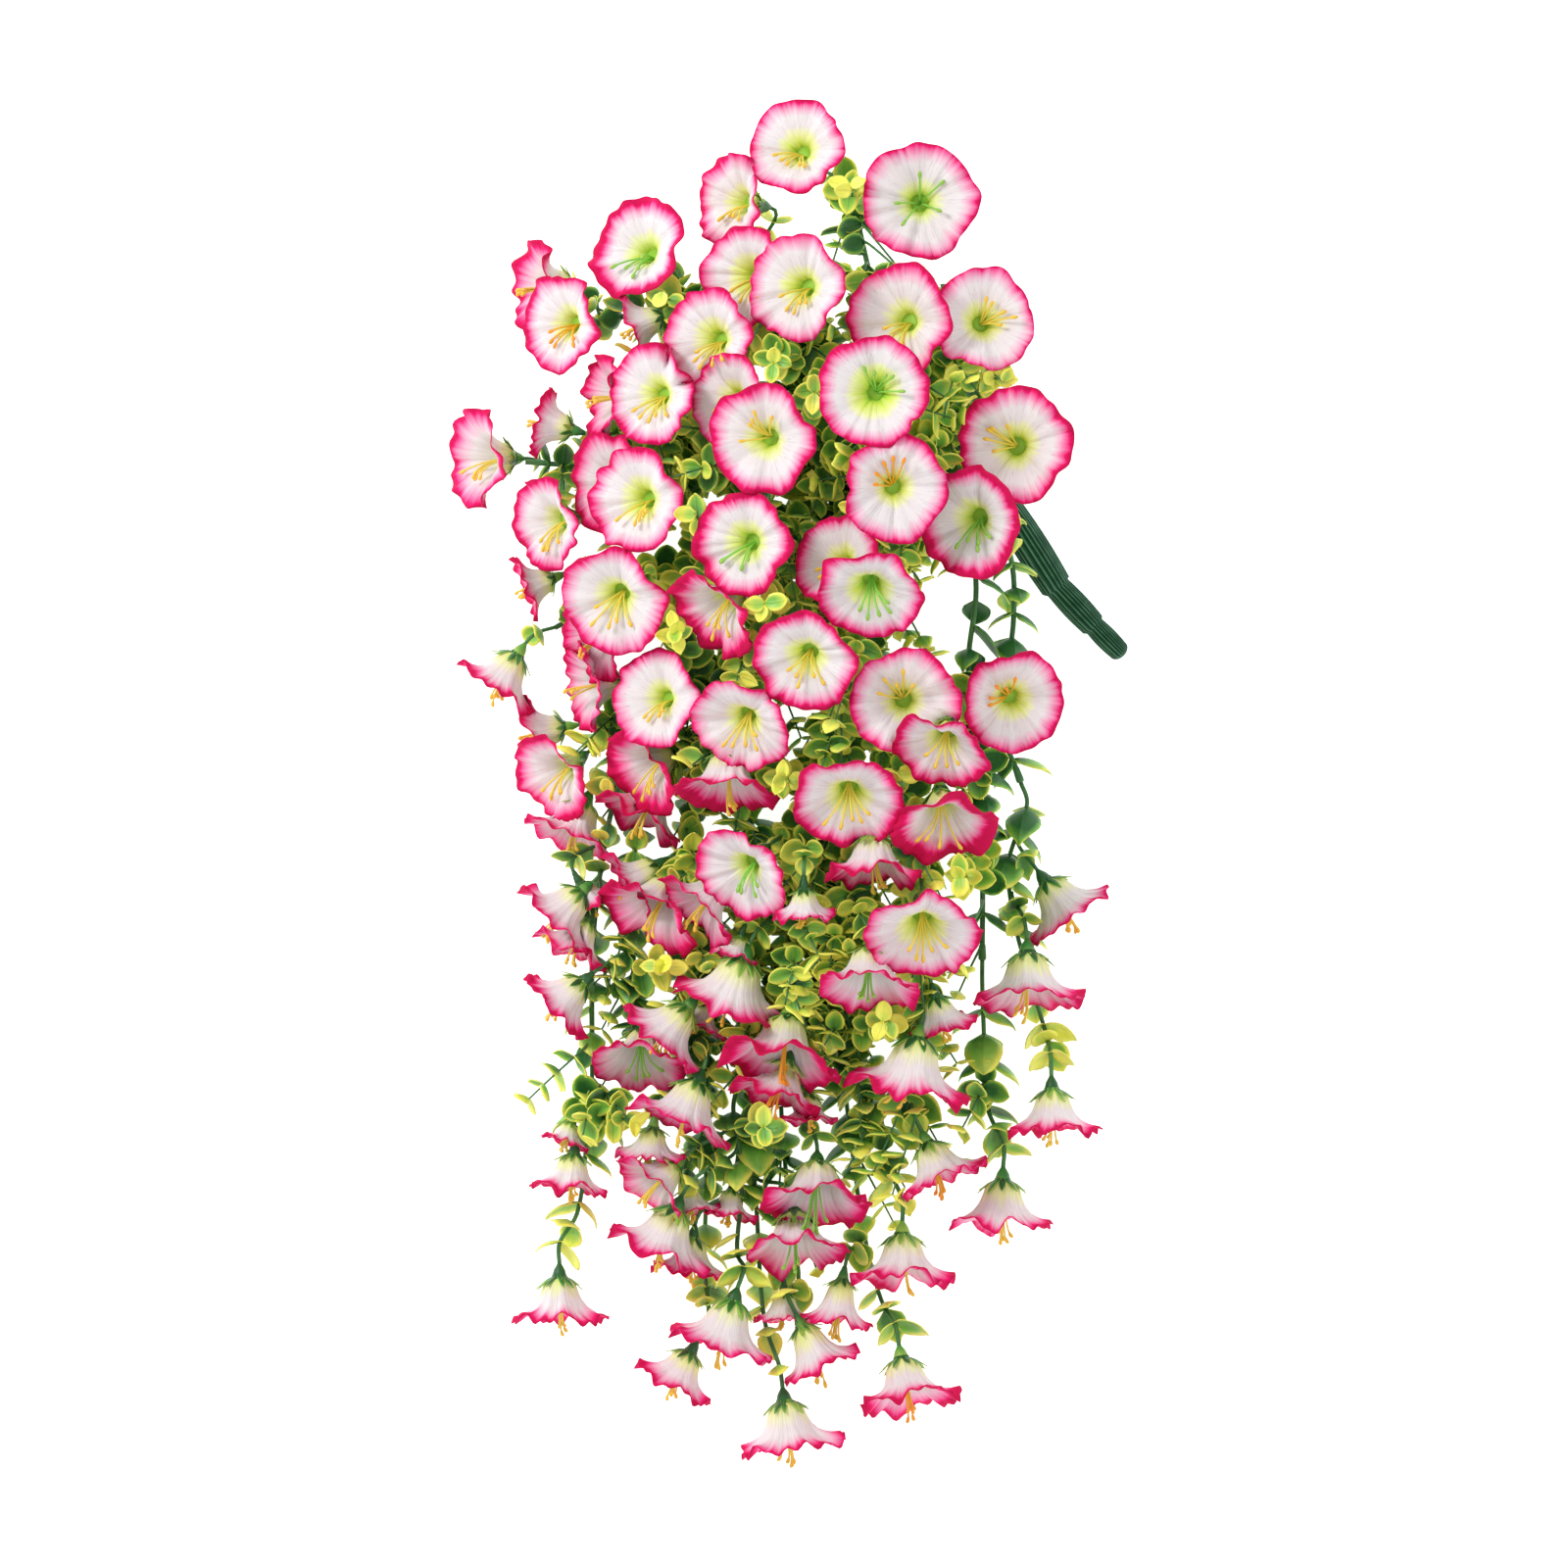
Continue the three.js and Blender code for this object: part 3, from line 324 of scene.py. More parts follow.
SPRIG_LAST_ROW = 1220       # pixel row below which only the stems carry leaves
SPRIG_RIGHT = (985, 470)    # no sprig ends past this pixel column below this row
SPRIG_EDGE = 1020           # or past this one at all
SPRIG_LEFT = 535            # or left of this one
# Round gaps in the leaves: pixel column, row and radius.
GAPS = [(960, 625, 34), (880, 142, 30), (895, 262, 24), (1003, 925, 24), (1003, 965, 24),
        (1003, 1005, 22)]
# Places between the blooms that need sprigs of their own: pixel column and row.
FILLS = [(712, 529), (690, 646), (782, 619), (801, 795), (868, 197), (790, 373), (832, 404),
         (1018, 390), (641, 1142), (676, 987), (903, 1041), (981, 893), (778, 1150)]
FILL_DEPTH = 18             # how far a filling sprig ends under the front surface
FILL_STARTS = 40            # how many of the nearest branch points are tried for it
FILL_LIFT = 4               # how far it bows up on its way
FILL_APART = 12             # distance between the starts of a place's two sprigs
LAST_CROWN_ROW = 900        # pixel row down to which no leaf lies in front of a bloom
PETAL_CLEAR = 3             # room between a sprig's tip and a petal
STALK_CLEAR = 14            # and from a leaf's middle to the middle of the stalk
FLOOR_CLEAR = 0.6
FLOOR_SIZE = 14.0           # metres
CAMERA_DISTANCE = 8.0       # metres
FRAME_WIDTH = 0.88          # metres of the floor's width in view
SENSOR = 36.0
PHOTO_MIDDLE = 800          # pixel column and row of the photograph's middle
# The lights: place in metres, size in metres and power in watts.
LIGHTS = {"key": ((-1.9, 1.5, 2.0), 0.8, 43), "fill": ((1.6, -1.2, 2.4), 1.6, 14)}
WORLD_LIGHT = 0.77
FLOOR_GLOW = 0.9

MASK = 0xFFFFFFFF           # 32 bits, for the seeded draws
DRAW_STEP = 0x6D2B79F5
DOWN = np.array([0, -1.0, 0])           # the way that the hanging stems go


# ---- Small tools ----
def random_from(seed):
    """Seeded draws of numbers from 0 to 1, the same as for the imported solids."""
    state = seed & MASK

    def draw():
        nonlocal state
        state = (state + DRAW_STEP) & MASK
        mixed = ((state ^ (state >> 15)) * (state | 1)) & MASK
        mixed ^= (mixed + (((mixed ^ (mixed >> 7)) * (mixed | 61)) & MASK)) & MASK
        return (mixed ^ (mixed >> 14)) / (MASK + 1)

    return draw


def drawn(random, least, more):
    """A draw between the least value and that much more."""
    return least + more * random()


def place(row):
    """The point at a pixel column, a pixel row and a height."""
    column, line, height = row[:3]
    return np.array([(column - CENTRE_X) * PIXEL, (CENTRE_Y - line) * PIXEL, height], float)


def pixel_of(point):
    """The pixel column and row of a point."""
    return point[0] / PIXEL + CENTRE_X, CENTRE_Y - point[1] / PIXEL


def around(u, v, angle):
    """The direction at an angle from u towards v."""
    return u * math.cos(angle) + v * math.sin(angle)


def unit(vector):
    return vector / np.linalg.norm(vector)


def square_to(axis):
    """Two directions that are square to an axis and to each other."""
    other = np.array([0, 0, 1.0]) if abs(axis[2]) < 0.8 else np.array([0, 1.0, 0])
    u = unit(np.cross(other, axis))
    return u, np.cross(axis, u)


def smoothstep(low, high, value):
    t = np.clip((value - low) / (high - low), 0, 1)
    return t * t * (3 - 2 * t)


# ---- Lines ----
def curve_point(points, t):
    """A point on a centripetal Catmull-Rom curve, t from 0 to 1."""
    last = len(points) - 1
    place_on = min(last * t, last)
    i = min(int(math.floor(place_on)), last - 1)
    weight = place_on - i
    p1, p2 = points[i], points[i + 1]
    p0 = points[i - 1] if i > 0 else 2 * points[0] - points[1]
    p3 = points[i + 2] if i + 2 <= last else 2 * points[last] - points[last - 1]
    step = [np.sum((b - a) ** 2) ** 0.25 for a, b in ((p0, p1), (p1, p2), (p2, p3))]
    mid = step[1] if step[1] > 1e-4 else 1.0
    before = step[0] if step[0] > 1e-4 else mid
    after = step[2] if step[2] > 1e-4 else mid
    t1 = ((p1 - p0) / before - (p2 - p0) / (before + mid) + (p2 - p1) / mid) * mid
    t2 = ((p2 - p1) / mid - (p3 - p1) / (mid + after) + (p3 - p2) / after) * mid
    c2 = -3 * p1 + 3 * p2 - 2 * t1 - t2
    c3 = 2 * p1 - 2 * p2 + t1 + t2
    return p1 + t1 * weight + c2 * weight ** 2 + c3 * weight ** 3


def curve_line(points, steps):
    """A smooth line through some points."""
    return [curve_point(points, i / steps) for i in range(steps + 1)]


def coarse(points):
    """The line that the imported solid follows."""
    return curve_line(points, 2 * (len(points) - 1) if len(points) < LONG_LINE else len(points) - 1)


def bezier(a, b, c, d, steps):
    """A cubic curve from a to d, with b and c as its handles."""
    t = np.linspace(0, 1, steps + 1)[:, None]
    line = a * (1 - t) ** 3 + 3 * b * (1 - t) ** 2 * t + 3 * c * (1 - t) * t ** 2 + d * t ** 3
    return list(line)


def evenly(line, step):
    """The same line with its points about a step apart."""
    points = np.array(line)
    way = np.concatenate([[0], np.cumsum(np.linalg.norm(np.diff(points, axis=0), axis=1))])
    count = max(2, int(round(way[-1] / step)) + 1)
    wanted = np.linspace(0, way[-1], count)
    return [np.array([np.interp(s, way, points[:, k]) for k in range(3)]) for s in wanted]


# ---- Blooms: where each one is ----
def front_height(column, line):
    """Height of the bush's front surface at a pixel."""
    across = (column - CROWN["x"]) / (CROWN["left"] if column < CROWN["x"] else CROWN["right"])
    along = (line - CROWN["y"]) / (CROWN["up"] if line < CROWN["y"] else CROWN["down"])
    dome = max(0, 1 - across ** 2 - along ** 2)
    rise = smoothstep(CURTAIN["top"], CURTAIN["full"], line)
    fall = smoothstep(CURTAIN["fall"], CURTAIN["end"], line)
    curtain = (rise - fall) * max(0, 1 - across ** 2)
    return FLAT_HEIGHT + DOME_HEIGHT * dome + CURTAIN["height"] * curtain


def bloom_plan(number, row):
    """Everything about one bloom that follows from its row."""
    column, line, width, facing, tilt, layer = row[:6]
    share = row[6] if len(row) > 6 else FUNNEL_HEIGHT
    diameter = width * PIXEL
    turn, lean = math.radians(facing), math.radians(tilt)
    axis = np.array([math.sin(lean) * math.cos(turn), math.sin(lean) * math.sin(turn), math.cos(lean)])
    random = random_from(number)
    sides = 2 * LOBES

    def uneven():
        return (random() * 2 - 1) * JITTER * diameter

    reach = [diameter / 2 * (1 - VALLEY if k % 2 else 1 + VALLEY) + uneven() for k in range(sides)]
    rise = [(WAVE if k % 2 else -WAVE) * diameter + uneven() for k in range(sides)]
    u, v = square_to(axis)
    wanted = front_height(column, line) - (TOP_LAYER - layer) * LAYER_STEP
    middle = place((column, line, wanted))
    angles = [k * 2 * math.pi / sides for k in range(sides)]
    lowest = min((middle + u * r * math.cos(a) + v * r * math.sin(a) + axis * h)[2]
                 for r, h, a in zip(reach, rise, angles))
    middle[2] += max(0, RIM_THICK - lowest)
    seat = middle - axis * share * diameter
    return {"number": number, "diameter": diameter, "axis": axis, "u": u, "v": v, "tilt": tilt,
            "reach": reach, "rise": rise, "height": share * diameter, "middle": middle,
            "seat": seat, "neck": seat - axis * CALYX_REACH}


PLANS = {number: bloom_plan(number, row) for number, row in BLOOMS.items()}


# ---- Stems: where each one runs ----
def end_of(line):
    """The last point of a line, and the direction there."""
    return line[-1], unit(line[-1] - line[-2])


BRANCH_POINTS = {name: [place(point) for point in points] for name, points in BRANCHES.items()}
BRANCH_LINES = {name: coarse(points) for name, points in BRANCH_POINTS.items()}


def shoot_points(number, branch, by):
    """The points of a shoot, from its branch's end to its bloom."""
    end, direction = end_of(BRANCH_LINES[branch])
    start = end + direction * SEAT_GAP
    plan = PLANS[number]
    lead = plan["neck"] - plan["axis"] * SHOOT_LEAD
    return [start, start + direction * SHOOT_LEAD, *[place(point) for point in by], lead, plan["neck"]]


SHOOT_POINTS = {f"shoot_{number}": shoot_points(number, *row) for number, row in SHOOTS.items()}
SHOOT_LINES = {name: coarse(points) for name, points in SHOOT_POINTS.items()}


def fork_for(plan, carriers):
    """The place where a flower stem forks off, and the direction there."""
    goal = plan["seat"] - plan["axis"] * STEM_REACH
    best = (math.inf,)
    for name, line in carriers.items():
        if name != FORKS.get(plan["number"], name):
            continue
        for i in range(1, len(line)):
            onward = unit(line[i] - line[i - 1])
            for share in FORK_SHARES:
                point = line[i - 1] + (line[i] - line[i - 1]) * share
                way = goal - point
                back = max(0, -float(unit(way) @ onward))
                under = max(0, point[2] - goal[2])
                cost = np.linalg.norm(way) * (1 + back) + 2 * under
                if cost < best[0]:
                    best = (cost, name, point, onward)
    return best[1:]


def flower_line(plan, point, onward):
    """The line of a flower stem, from where it forks off to its bloom."""
    neck = plan["neck"]
    reach = min(STEM_REACH, float(np.linalg.norm(point - neck)) * REACH_SHARE)
    return bezier(point, point + onward * reach * STEM_START, neck - plan["axis"] * reach, neck, STEM_STEPS)


def all_stems():
    """Every stem but the sprigs: its node, line, radius at each point, and kind."""
    stems = []

    def add(node, line, radii, kind):
        radii = [radius * ROUND_STEM for radius in radii]
        stems.append({"node": node, "line": line, "radii": radii, "kind": kind})

    sleeved = [branch for branch, _ in SHOOTS.values()]
    for name, points in BRANCH_POINTS.items():
        line = curve_line(points, BRANCH_STEPS * (len(points) - 1))
        radii = [WIRE_RADIUS] * len(line)
        if name in sleeved:
            line, radii = with_sleeve(line)
        add(TRUNK, line, radii, "branch")
    for name, points in SHOOT_POINTS.items():
        line = curve_line(points, SHOOT_STEPS * (len(points) - 1))
        add(name, line, [SHOOT_RADIUS] * len(line), "shoot")
    carriers = {**BRANCH_LINES, **{name: line[1:] for name, line in SHOOT_LINES.items()}}
    for number, plan in PLANS.items():
        if number in SHOOTS:
            plan["node"] = f"shoot_{number}"
            continue
        name, point, onward = fork_for(plan, carriers)
        plan["node"] = name if name.startswith("shoot") else TRUNK
        line = flower_line(plan, point, onward)
        add(plan["node"], line, [STEM_RADIUS] * len(line), "flower")
    return stems


def with_sleeve(line):
    """A branch with the tapered sleeve that its shoot is pushed on."""
    end, direction = end_of(line)
    foot = end - direction * SLEEVE_LENGTH
    kept = [point for point in line if (foot - point) @ direction > 1]
    points = [*kept, foot, foot + direction * SLEEVE_STEP, end - direction * SLEEVE_LIP, end]
    radii = [WIRE_RADIUS] * (len(kept) + 1) + [WIRE_RADIUS * 1.25, SLEEVE_RADIUS, SLEEVE_RADIUS * 0.85]
    return points, radii


# ---- Meshes ----
class Shape:
    """Points, faces and a tone at each point, gathered into one mesh."""

    def __init__(self):
        self.points, self.tones, self.faces, self.slots = [], [], [], []
        self.count = 0

    def add(self, points, tones, faces, slots):
        self.points.append(points)
        self.tones.append(tones)
        self.faces.extend([tuple(i + self.count for i in face) for face in faces])
        self.slots.extend(slots)
        self.count += len(points)

    def piece(self, name, materials, slot):
        """The mesh in metres as a shown piece of the body."""
        mesh = bpy.data.meshes.new(name)
        points = np.concatenate(self.points) * MM
        mesh.from_pydata([tuple(point) for point in points], [], self.faces)
        tone = mesh.attributes.new("tone", "FLOAT_VECTOR", "POINT")
        tone.data.foreach_set("vector", np.concatenate(self.tones).astype(np.float32).ravel())
        mesh.polygons.foreach_set("material_index", self.slots)
        mesh.polygons.foreach_set("use_smooth", [True] * len(self.faces))
        for material in materials:
            mesh.materials.append(material)
        mesh.update()
        piece = bpy.data.objects.new(name, mesh)
        bpy.context.scene.collection.objects.link(piece)
        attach(piece, "root")
        return piece


def grid_faces(rows, columns, wrap):
    """Faces of a grid of points, row after row."""
    faces = []
    for i in range(rows - 1):
        for j in range(columns if wrap else columns - 1):
            k = (j + 1) % columns
            faces.append((i * columns + j, i * columns + k, (i + 1) * columns + k, (i + 1) * columns + j))
    return faces


def grid_tree(grid, wrap):
    """A search tree of a grid's faces."""
    faces = grid_faces(*grid.shape[:2], wrap)
    return BVHTree.FromPolygons([tuple(point) for point in grid.reshape(-1, 3)], faces)


def grid_normals(grid, wrap):
    """Directions square to a grid of points."""
    along = np.gradient(grid, axis=0)
    if wrap:
        across = np.roll(grid, -1, axis=1) - np.roll(grid, 1, axis=1)
    else:
        across = np.gradient(grid, axis=1)
    normals = np.cross(across, along)
    return normals / np.maximum(np.linalg.norm(normals, axis=2, keepdims=True), 1e-9)


def tube_rings(line, radii, sides, wave):
    """Rings of points round a line. A wave is their radius at each angle, as a share."""
    points = np.array(line)
    directions = np.gradient(points, axis=0)
    directions /= np.linalg.norm(directions, axis=1, keepdims=True)
    u = square_to(directions[0])[0]
    angles = np.arange(sides) * 2 * math.pi / sides
    rings = []
    for i, point in enumerate(points):
        u = unit(u - directions[i] * (u @ directions[i]))
        v = np.cross(directions[i], u)
        radius = radii[i] * (wave(angles) if wave else 1)
        rings.append(point + np.outer(radius * np.cos(angles), u) + np.outer(radius * np.sin(angles), v))
    return np.array(rings)


def ribs(angles):
    """Height of the fine ribs round the stalk, 0 to 1."""
    return np.abs(np.sin(RIBS / 2 * angles + RIB_SHIFT * np.sin(3 * angles)))


def add_tube(shape, line, radii, sides, tone, slot=0, wave=None, dip=0.0):
    """A closed tube. Its tone is how far along it a point is, and two values of its own, or with
    a wave one of them and the height of the ribs. A dip sinks the middle of its last end."""
    rings = tube_rings(line, radii, sides, wave)
    count = len(rings)
    last_middle = rings[-1].mean(0) - unit(line[-1] - line[-2]) * dip
    points = np.concatenate([rings.reshape(-1, 3), [rings[0].mean(0)], [last_middle]])
    along = np.repeat(np.linspace(0, 1, count), sides)
    tones = np.column_stack([np.concatenate([along, [0, 1]]), np.full(len(points), tone[0]),
                             np.full(len(points), tone[1])])
    if wave:
        # rib height, which the stalk's material turns into painted shade in the grooves and a painted
        # highlight on the ridges
        tones[:count * sides, 2] = np.tile(ribs(np.arange(sides) * 2 * math.pi / sides), count)
    faces = grid_faces(count, sides, True)
    first, last = count * sides, count * sides + 1
    for j in range(sides):
        k = (j + 1) % sides
        faces.append((first, k, j))
        faces.append((last, (count - 1) * sides + j, (count - 1) * sides + k))
    shape.add(points, tones, faces, [slot] * len(faces))


def add_sheet(shape, grid, tones, thick, slot=0):
    """A thin closed blade: a grid of points with two faces and an edge all round."""
    rows, columns = grid.shape[:2]
    normals = grid_normals(grid, False)
    count = rows * columns
    points = np.concatenate([(grid + normals * thick / 2).reshape(-1, 3),
                             (grid - normals * thick / 2).reshape(-1, 3)])
    front = grid_faces(rows, columns, False)
    faces = [tuple(reversed(face)) for face in front] + [tuple(i + count for i in face) for face in front]
    border = [*range(columns)] + [i * columns + columns - 1 for i in range(1, rows)]
    border += [(rows - 1) * columns + j for j in range(columns - 2, -1, -1)]
    border += [i * columns for i in range(rows - 2, 0, -1)]
    for a, b in zip(border, border[1:] + border[:1]):
        faces.append((a, b, b + count, a + count))
    shape.add(points, np.concatenate([tones, tones]), faces, [slot] * len(faces))


def blade_tones(t, s, own):
    """The tone at each point of a blade: its places along and across it, and a value of its own."""
    return np.column_stack([np.repeat(t, len(s)), np.tile(np.abs(s), len(t)),
                            np.full(len(t) * len(s), own)])


# ---- Bloom shapes ----
def waves(random, counts, angles):
    """An uneven wave round a circle, about 1 high."""
    total = np.zeros_like(angles)
    for count in counts:
        total += (0.5 + random()) * np.sin(count * angles + random() * 2 * math.pi)
    return total / math.sqrt(len(counts))


def round_the_rim(values, angles):
    """A smooth closed curve through values that are spaced evenly round a circle."""
    count = len(values)
    spot = angles / (2 * math.pi) * count
    i = np.floor(spot).astype(int)
    t = spot - i
    a, b, c, d = (np.array(values)[(i + k) % count] for k in (-1, 0, 1, 2))
    return b + 0.5 * t * (c - a + t * (2 * a - 5 * b + 4 * c - d + t * (3 * (b - c) + d - a)))


def petal_profile(plan):
    """Radius and height of each row of points, with how far the bloom hangs as a bell."""
    bell = float(smoothstep(*BELL_TILTS, plan["tilt"]))
    along = np.linspace(0, 1, ALONG)
    spots = np.linspace(0, 1, len(OPEN_PROFILE))
    rows = [(1 - bell) * np.interp(along, spots, [a[k] for a in OPEN_PROFILE])
            + bell * np.interp(along, spots, [b[k] for b in BELL_PROFILE]) for k in (0, 1)]
    return rows[0] * plan["diameter"], rows[1] * plan["height"], along, bell


def creases(random, angles, flare):
    """Folds at uneven places round a bloom, deepest half way out."""
    total = np.zeros((len(flare), len(angles)))
    for k in range(CREASES):
        middle = (k + 0.8 * random()) * 2 * math.pi / CREASES
        width = drawn(random, *CREASE_WIDTH)
        depth = drawn(random, *CREASE_HEIGHT)
        bend = CREASE_BEND * (random() - 0.5)
        away = angles[None, :] - middle - bend * flare[:, None]
        away = (away + math.pi) % (2 * math.pi) - math.pi
        total += depth * np.exp(-(away / width) ** 2) * (1 if random() < FOLDED_IN else FOLDED_OUT)
    faded = 1 - CREASE_FADE * smoothstep(*CREASES_FADE, flare)
    return total * (smoothstep(*CREASES_START, flare) * faded)[:, None]


def notches(random, angles):
    """Narrow gaps in the rim of some blooms."""
    total = np.zeros_like(angles)
    for _ in range(int(random() * (NOTCHES + 1))):
        middle = random() * 2 * math.pi
        away = (angles - middle + math.pi) % (2 * math.pi) - math.pi
        total += drawn(random, 0.4, 0.6) * np.exp(-np.abs(away / NOTCH_WIDTH) ** 1.4)
    return total * NOTCH_DEPTH


def petal_grid(plan):
    """The middle of a bloom's cloth, from foot to rim, and where each of its rows is."""
    diameter = plan["diameter"]
    random = random_from(PETAL_SEED + plan["number"])
    angles = np.arange(AROUND) * 2 * math.pi / AROUND
    radius, height, along, bell = petal_profile(plan)
    flare = np.maximum(0, (radius / diameter - BASE_RADIUS) / (0.5 - BASE_RADIUS))
    reach = round_the_rim(plan["reach"], angles) / (diameter / 2)
    rise = round_the_rim(plan["rise"], angles)
    ruffle = waves(random, RUFFLES, angles) * diameter * (
        RUFFLE_HEIGHT + (HANGING_RUFFLE - RUFFLE_HEIGHT) * bell)
    ripple = waves(random, RUFFLES[1:], angles) * RIPPLE - notches(random, angles)
    r = radius[:, None] * (1 + (reach - 1)[None, :] * flare[:, None]
                           + ripple[None, :] * flare[:, None] ** 3)
    h = height[:, None] + rise * flare[:, None] ** 1.5 + ruffle * flare[:, None] ** 2.5
    h = h - RIM_THICK / 2 * flare[:, None] - creases(random, angles, flare) * CREASE_DEPTH * diameter
    grid = (plan["seat"] + r[..., None] * (np.cos(angles)[:, None] * plan["u"]
            + np.sin(angles)[:, None] * plan["v"]) + h[..., None] * plan["axis"])
    grid[..., 2] = np.maximum(grid[..., 2], FLOOR_CLEAR)
    return grid, angles, flare * (1 - bell) + along * bell


def lay_under(grid, others):
    """Presses a bloom down to where it lies under the blooms in front of it."""
    low, high = grid.min((0, 1)), grid.max((0, 1))
    press = np.zeros(grid.shape[:2])
    for other_low, other_high, tree in others:
        beside = np.any(other_low[:2] > high[:2]) or np.any(low[:2] > other_high[:2])
        if beside or other_low[2] > high[2]:
            continue
        for i in range(FOOT_ROWS, grid.shape[0]):
            for j in range(grid.shape[1]):
                x, y, z = grid[i, j]
                hit = tree.ray_cast((x, y, RAY_START), (0, 0, 1))[0]
                if hit is not None and 0 < z - hit[2] + BLOOM_GAP < BLOOM_PRESS:
                    press[i, j] = max(press[i, j], z - hit[2] + BLOOM_GAP)
    if press.max() > 0:
        for _ in range(PRESS_ROUNDS):
            near = (np.roll(press, 1, 1) + np.roll(press, -1, 1)) / 2
            inner = np.vstack([press[1:], press[-1:]])
            outer = np.vstack([press[:1], press[:-1]])
            press = np.maximum(press, 0.4 * near + 0.3 * inner + 0.3 * outer)
        press *= smoothstep(0.05, 0.4, np.linspace(0, 1, grid.shape[0]))[:, None]
        grid[..., 2] = np.maximum(grid[..., 2] - press, FLOOR_CLEAR)


def lay_blooms():
    """Every bloom's cloth, the front ones first, with each one under those in front."""
    laid, others = {}, []
    for plan in sorted(PLANS.values(), key=lambda plan: -plan["middle"][2]):
        grid, angles, print_at = petal_grid(plan)
        lay_under(grid, others)
        others.append((grid.min((0, 1)), grid.max((0, 1)), grid_tree(grid, True)))
        laid[plan["number"]] = (grid, angles, print_at)
    return laid


def printed(number, print_at):
    """Where on its print each row of a bloom is: some glow wider from the throat, and some are
    pinker."""
    random = random_from(PRINT_SEED + number)
    glow = GLOWING.get(number, drawn(random, -0.2, 0.7))
    pink = DEEP_PINK.get(number, drawn(random, -0.1, 0.6))
    return (print_at * (1 - GLOW_SHIFT * glow * (1 - smoothstep(*GLOW_ENDS, print_at)))
            + PINK_SHIFT * pink * smoothstep(*PINK_STARTS, print_at))


def add_petals(shape, plan, laid):
    """A thin trumpet of cloth, closed at its foot: inside in slot 0, outside in slot 1."""
    grid, angles, print_at = laid
    normals = grid_normals(grid, True)
    inside = normals * np.sign(normals[-3] @ plan["axis"]).mean()
    front = grid + inside * CLOTH / 2
    back = grid - inside * CLOTH / 2
    foot = plan["seat"] + plan["axis"] * FOOT_RISE
    count = ALONG * AROUND
    ends = [foot + plan["axis"] * CLOTH, foot]
    points = np.concatenate([front.reshape(-1, 3), back.reshape(-1, 3), ends])
    seeds = [share * plan["number"] for share in PRINT_SEEDS]
    tone = np.stack(np.broadcast_arrays(
        printed(plan["number"], print_at)[:, None],
        np.cos(angles)[None, :] + seeds[0], np.sin(angles)[None, :] + seeds[1]), axis=2).reshape(-1, 3)
    middle = [[0, *seeds]]
    tones = np.concatenate([tone, tone, middle, middle])
    sheet = grid_faces(ALONG, AROUND, True)
    faces = sheet + [tuple(i + count for i in reversed(face)) for face in sheet]
    slots = [0] * len(sheet) + [1] * len(sheet)
    rim = (ALONG - 1) * AROUND
    for j in range(AROUND):
        k = (j + 1) % AROUND
        faces.append((rim + j, rim + k, rim + k + count, rim + j + count))
        faces.append((2 * count, k, j))
        faces.append((2 * count + 1, count + j, count + k))
        slots += [0, 0, 1]
    shape.add(points, tones, faces, slots)


def stamen_side(plan, random):
    """The side of a bloom that its stamens lean to: down, where that is off its axis."""
    down = DOWN + plan["axis"] * plan["axis"][1]
    if plan["tilt"] > OPEN_TILT and np.linalg.norm(down) > 0.4:
        return unit(unit(down) + 0.8 * (random() - 0.5) * plan["u"])
    return around(plan["u"], plan["v"], random() * 2 * math.pi)


def throat_top(plan):
    """How far up its bloom the moulded foot of the stamens reaches."""
    bell = petal_profile(plan)[3]
    return plan["height"] * (THROAT_OPEN + (THROAT_BELL - THROAT_OPEN) * bell)


def add_throat(shape, plan):
    """The moulded foot of the stamens, which fills the narrow end of the bloom."""
    radius, height, _, _ = petal_profile(plan)
    top = throat_top(plan)
    lifts = [CLOTH * 2 + (top - CLOTH * 2) * share for share in (0, 0.5, 1)]
    line = [plan["seat"] + plan["axis"] * lift for lift in lifts]
    radii = [float(np.interp(lift, height, radius)) - CLOTH / 2 for lift in lifts]
    add_tube(shape, line, radii, THROAT_SIDES, (THROAT_TONE, 0.5), dip=THROAT_DIP * top)


def add_stamens(shape, plan):
    """Filaments from the throat, each with a thicker anther on its tip."""
    add_throat(shape, plan)
    random = random_from(STAMEN_SEED + plan["number"])
    number, diameter, height, axis, seat = (
        plan[key] for key in ("number", "diameter", "height", "axis", "seat"))
    hanging = plan["tilt"] > SIDE_TILT
    colour = 0.0 if number in GREEN_STAMENS else 1.0 if number in ORANGE_STAMENS else 0.5
    side = stamen_side(plan, random)
    other = np.cross(axis, side)
    fan = STAR_FAN if plan["tilt"] < OPEN_TILT and number % 2 == 0 else SIDE_FAN
    radii = [STAMEN_RADIUS] * (STEM_STEPS - 2) + [STAMEN_RADIUS * share for share in ANTHER]
    for k in range(STAMENS):
        turn = (k - (STAMENS - 1) / 2) * fan + (random() - 0.5) * 0.5
        out = around(side, other, turn)
        tall, wide = (drawn(random, *pair[hanging]) for pair in (TIP_HEIGHT, TIP_OUT))
        start = seat + axis * throat_top(plan) * (1 - THROAT_DIP) * 0.9 + out * diameter * ROOT_OUT
        knee = seat + axis * height * KNEE_HEIGHT + out * diameter * KNEE_OUT
        tip = seat + axis * height * tall + out * diameter * wide
        bend = tip - (axis * 0.25 + out * 0.75) * diameter * TIP_BEND
        line = bezier(start, knee, bend, tip, STEM_STEPS)
        for point in line:
            point[2] = max(point[2], FLOOR_CLEAR)
        add_tube(shape, line, radii, STAMEN_SIDES, (colour, random()))


def sepal_path(plan, cup, length):
    """Radius and height of a sepal that hugs its bloom and stands off at the tip."""
    radius, height, _, bell = petal_profile(plan)
    t = np.linspace(0, 1, BLADE_ROWS)
    lift = -1.2 + t * length * (0.95 - 0.25 * bell)
    hug = np.interp(lift, height, radius) + 0.9
    return np.maximum(hug, cup) + 3.0 * t ** 3, lift, t


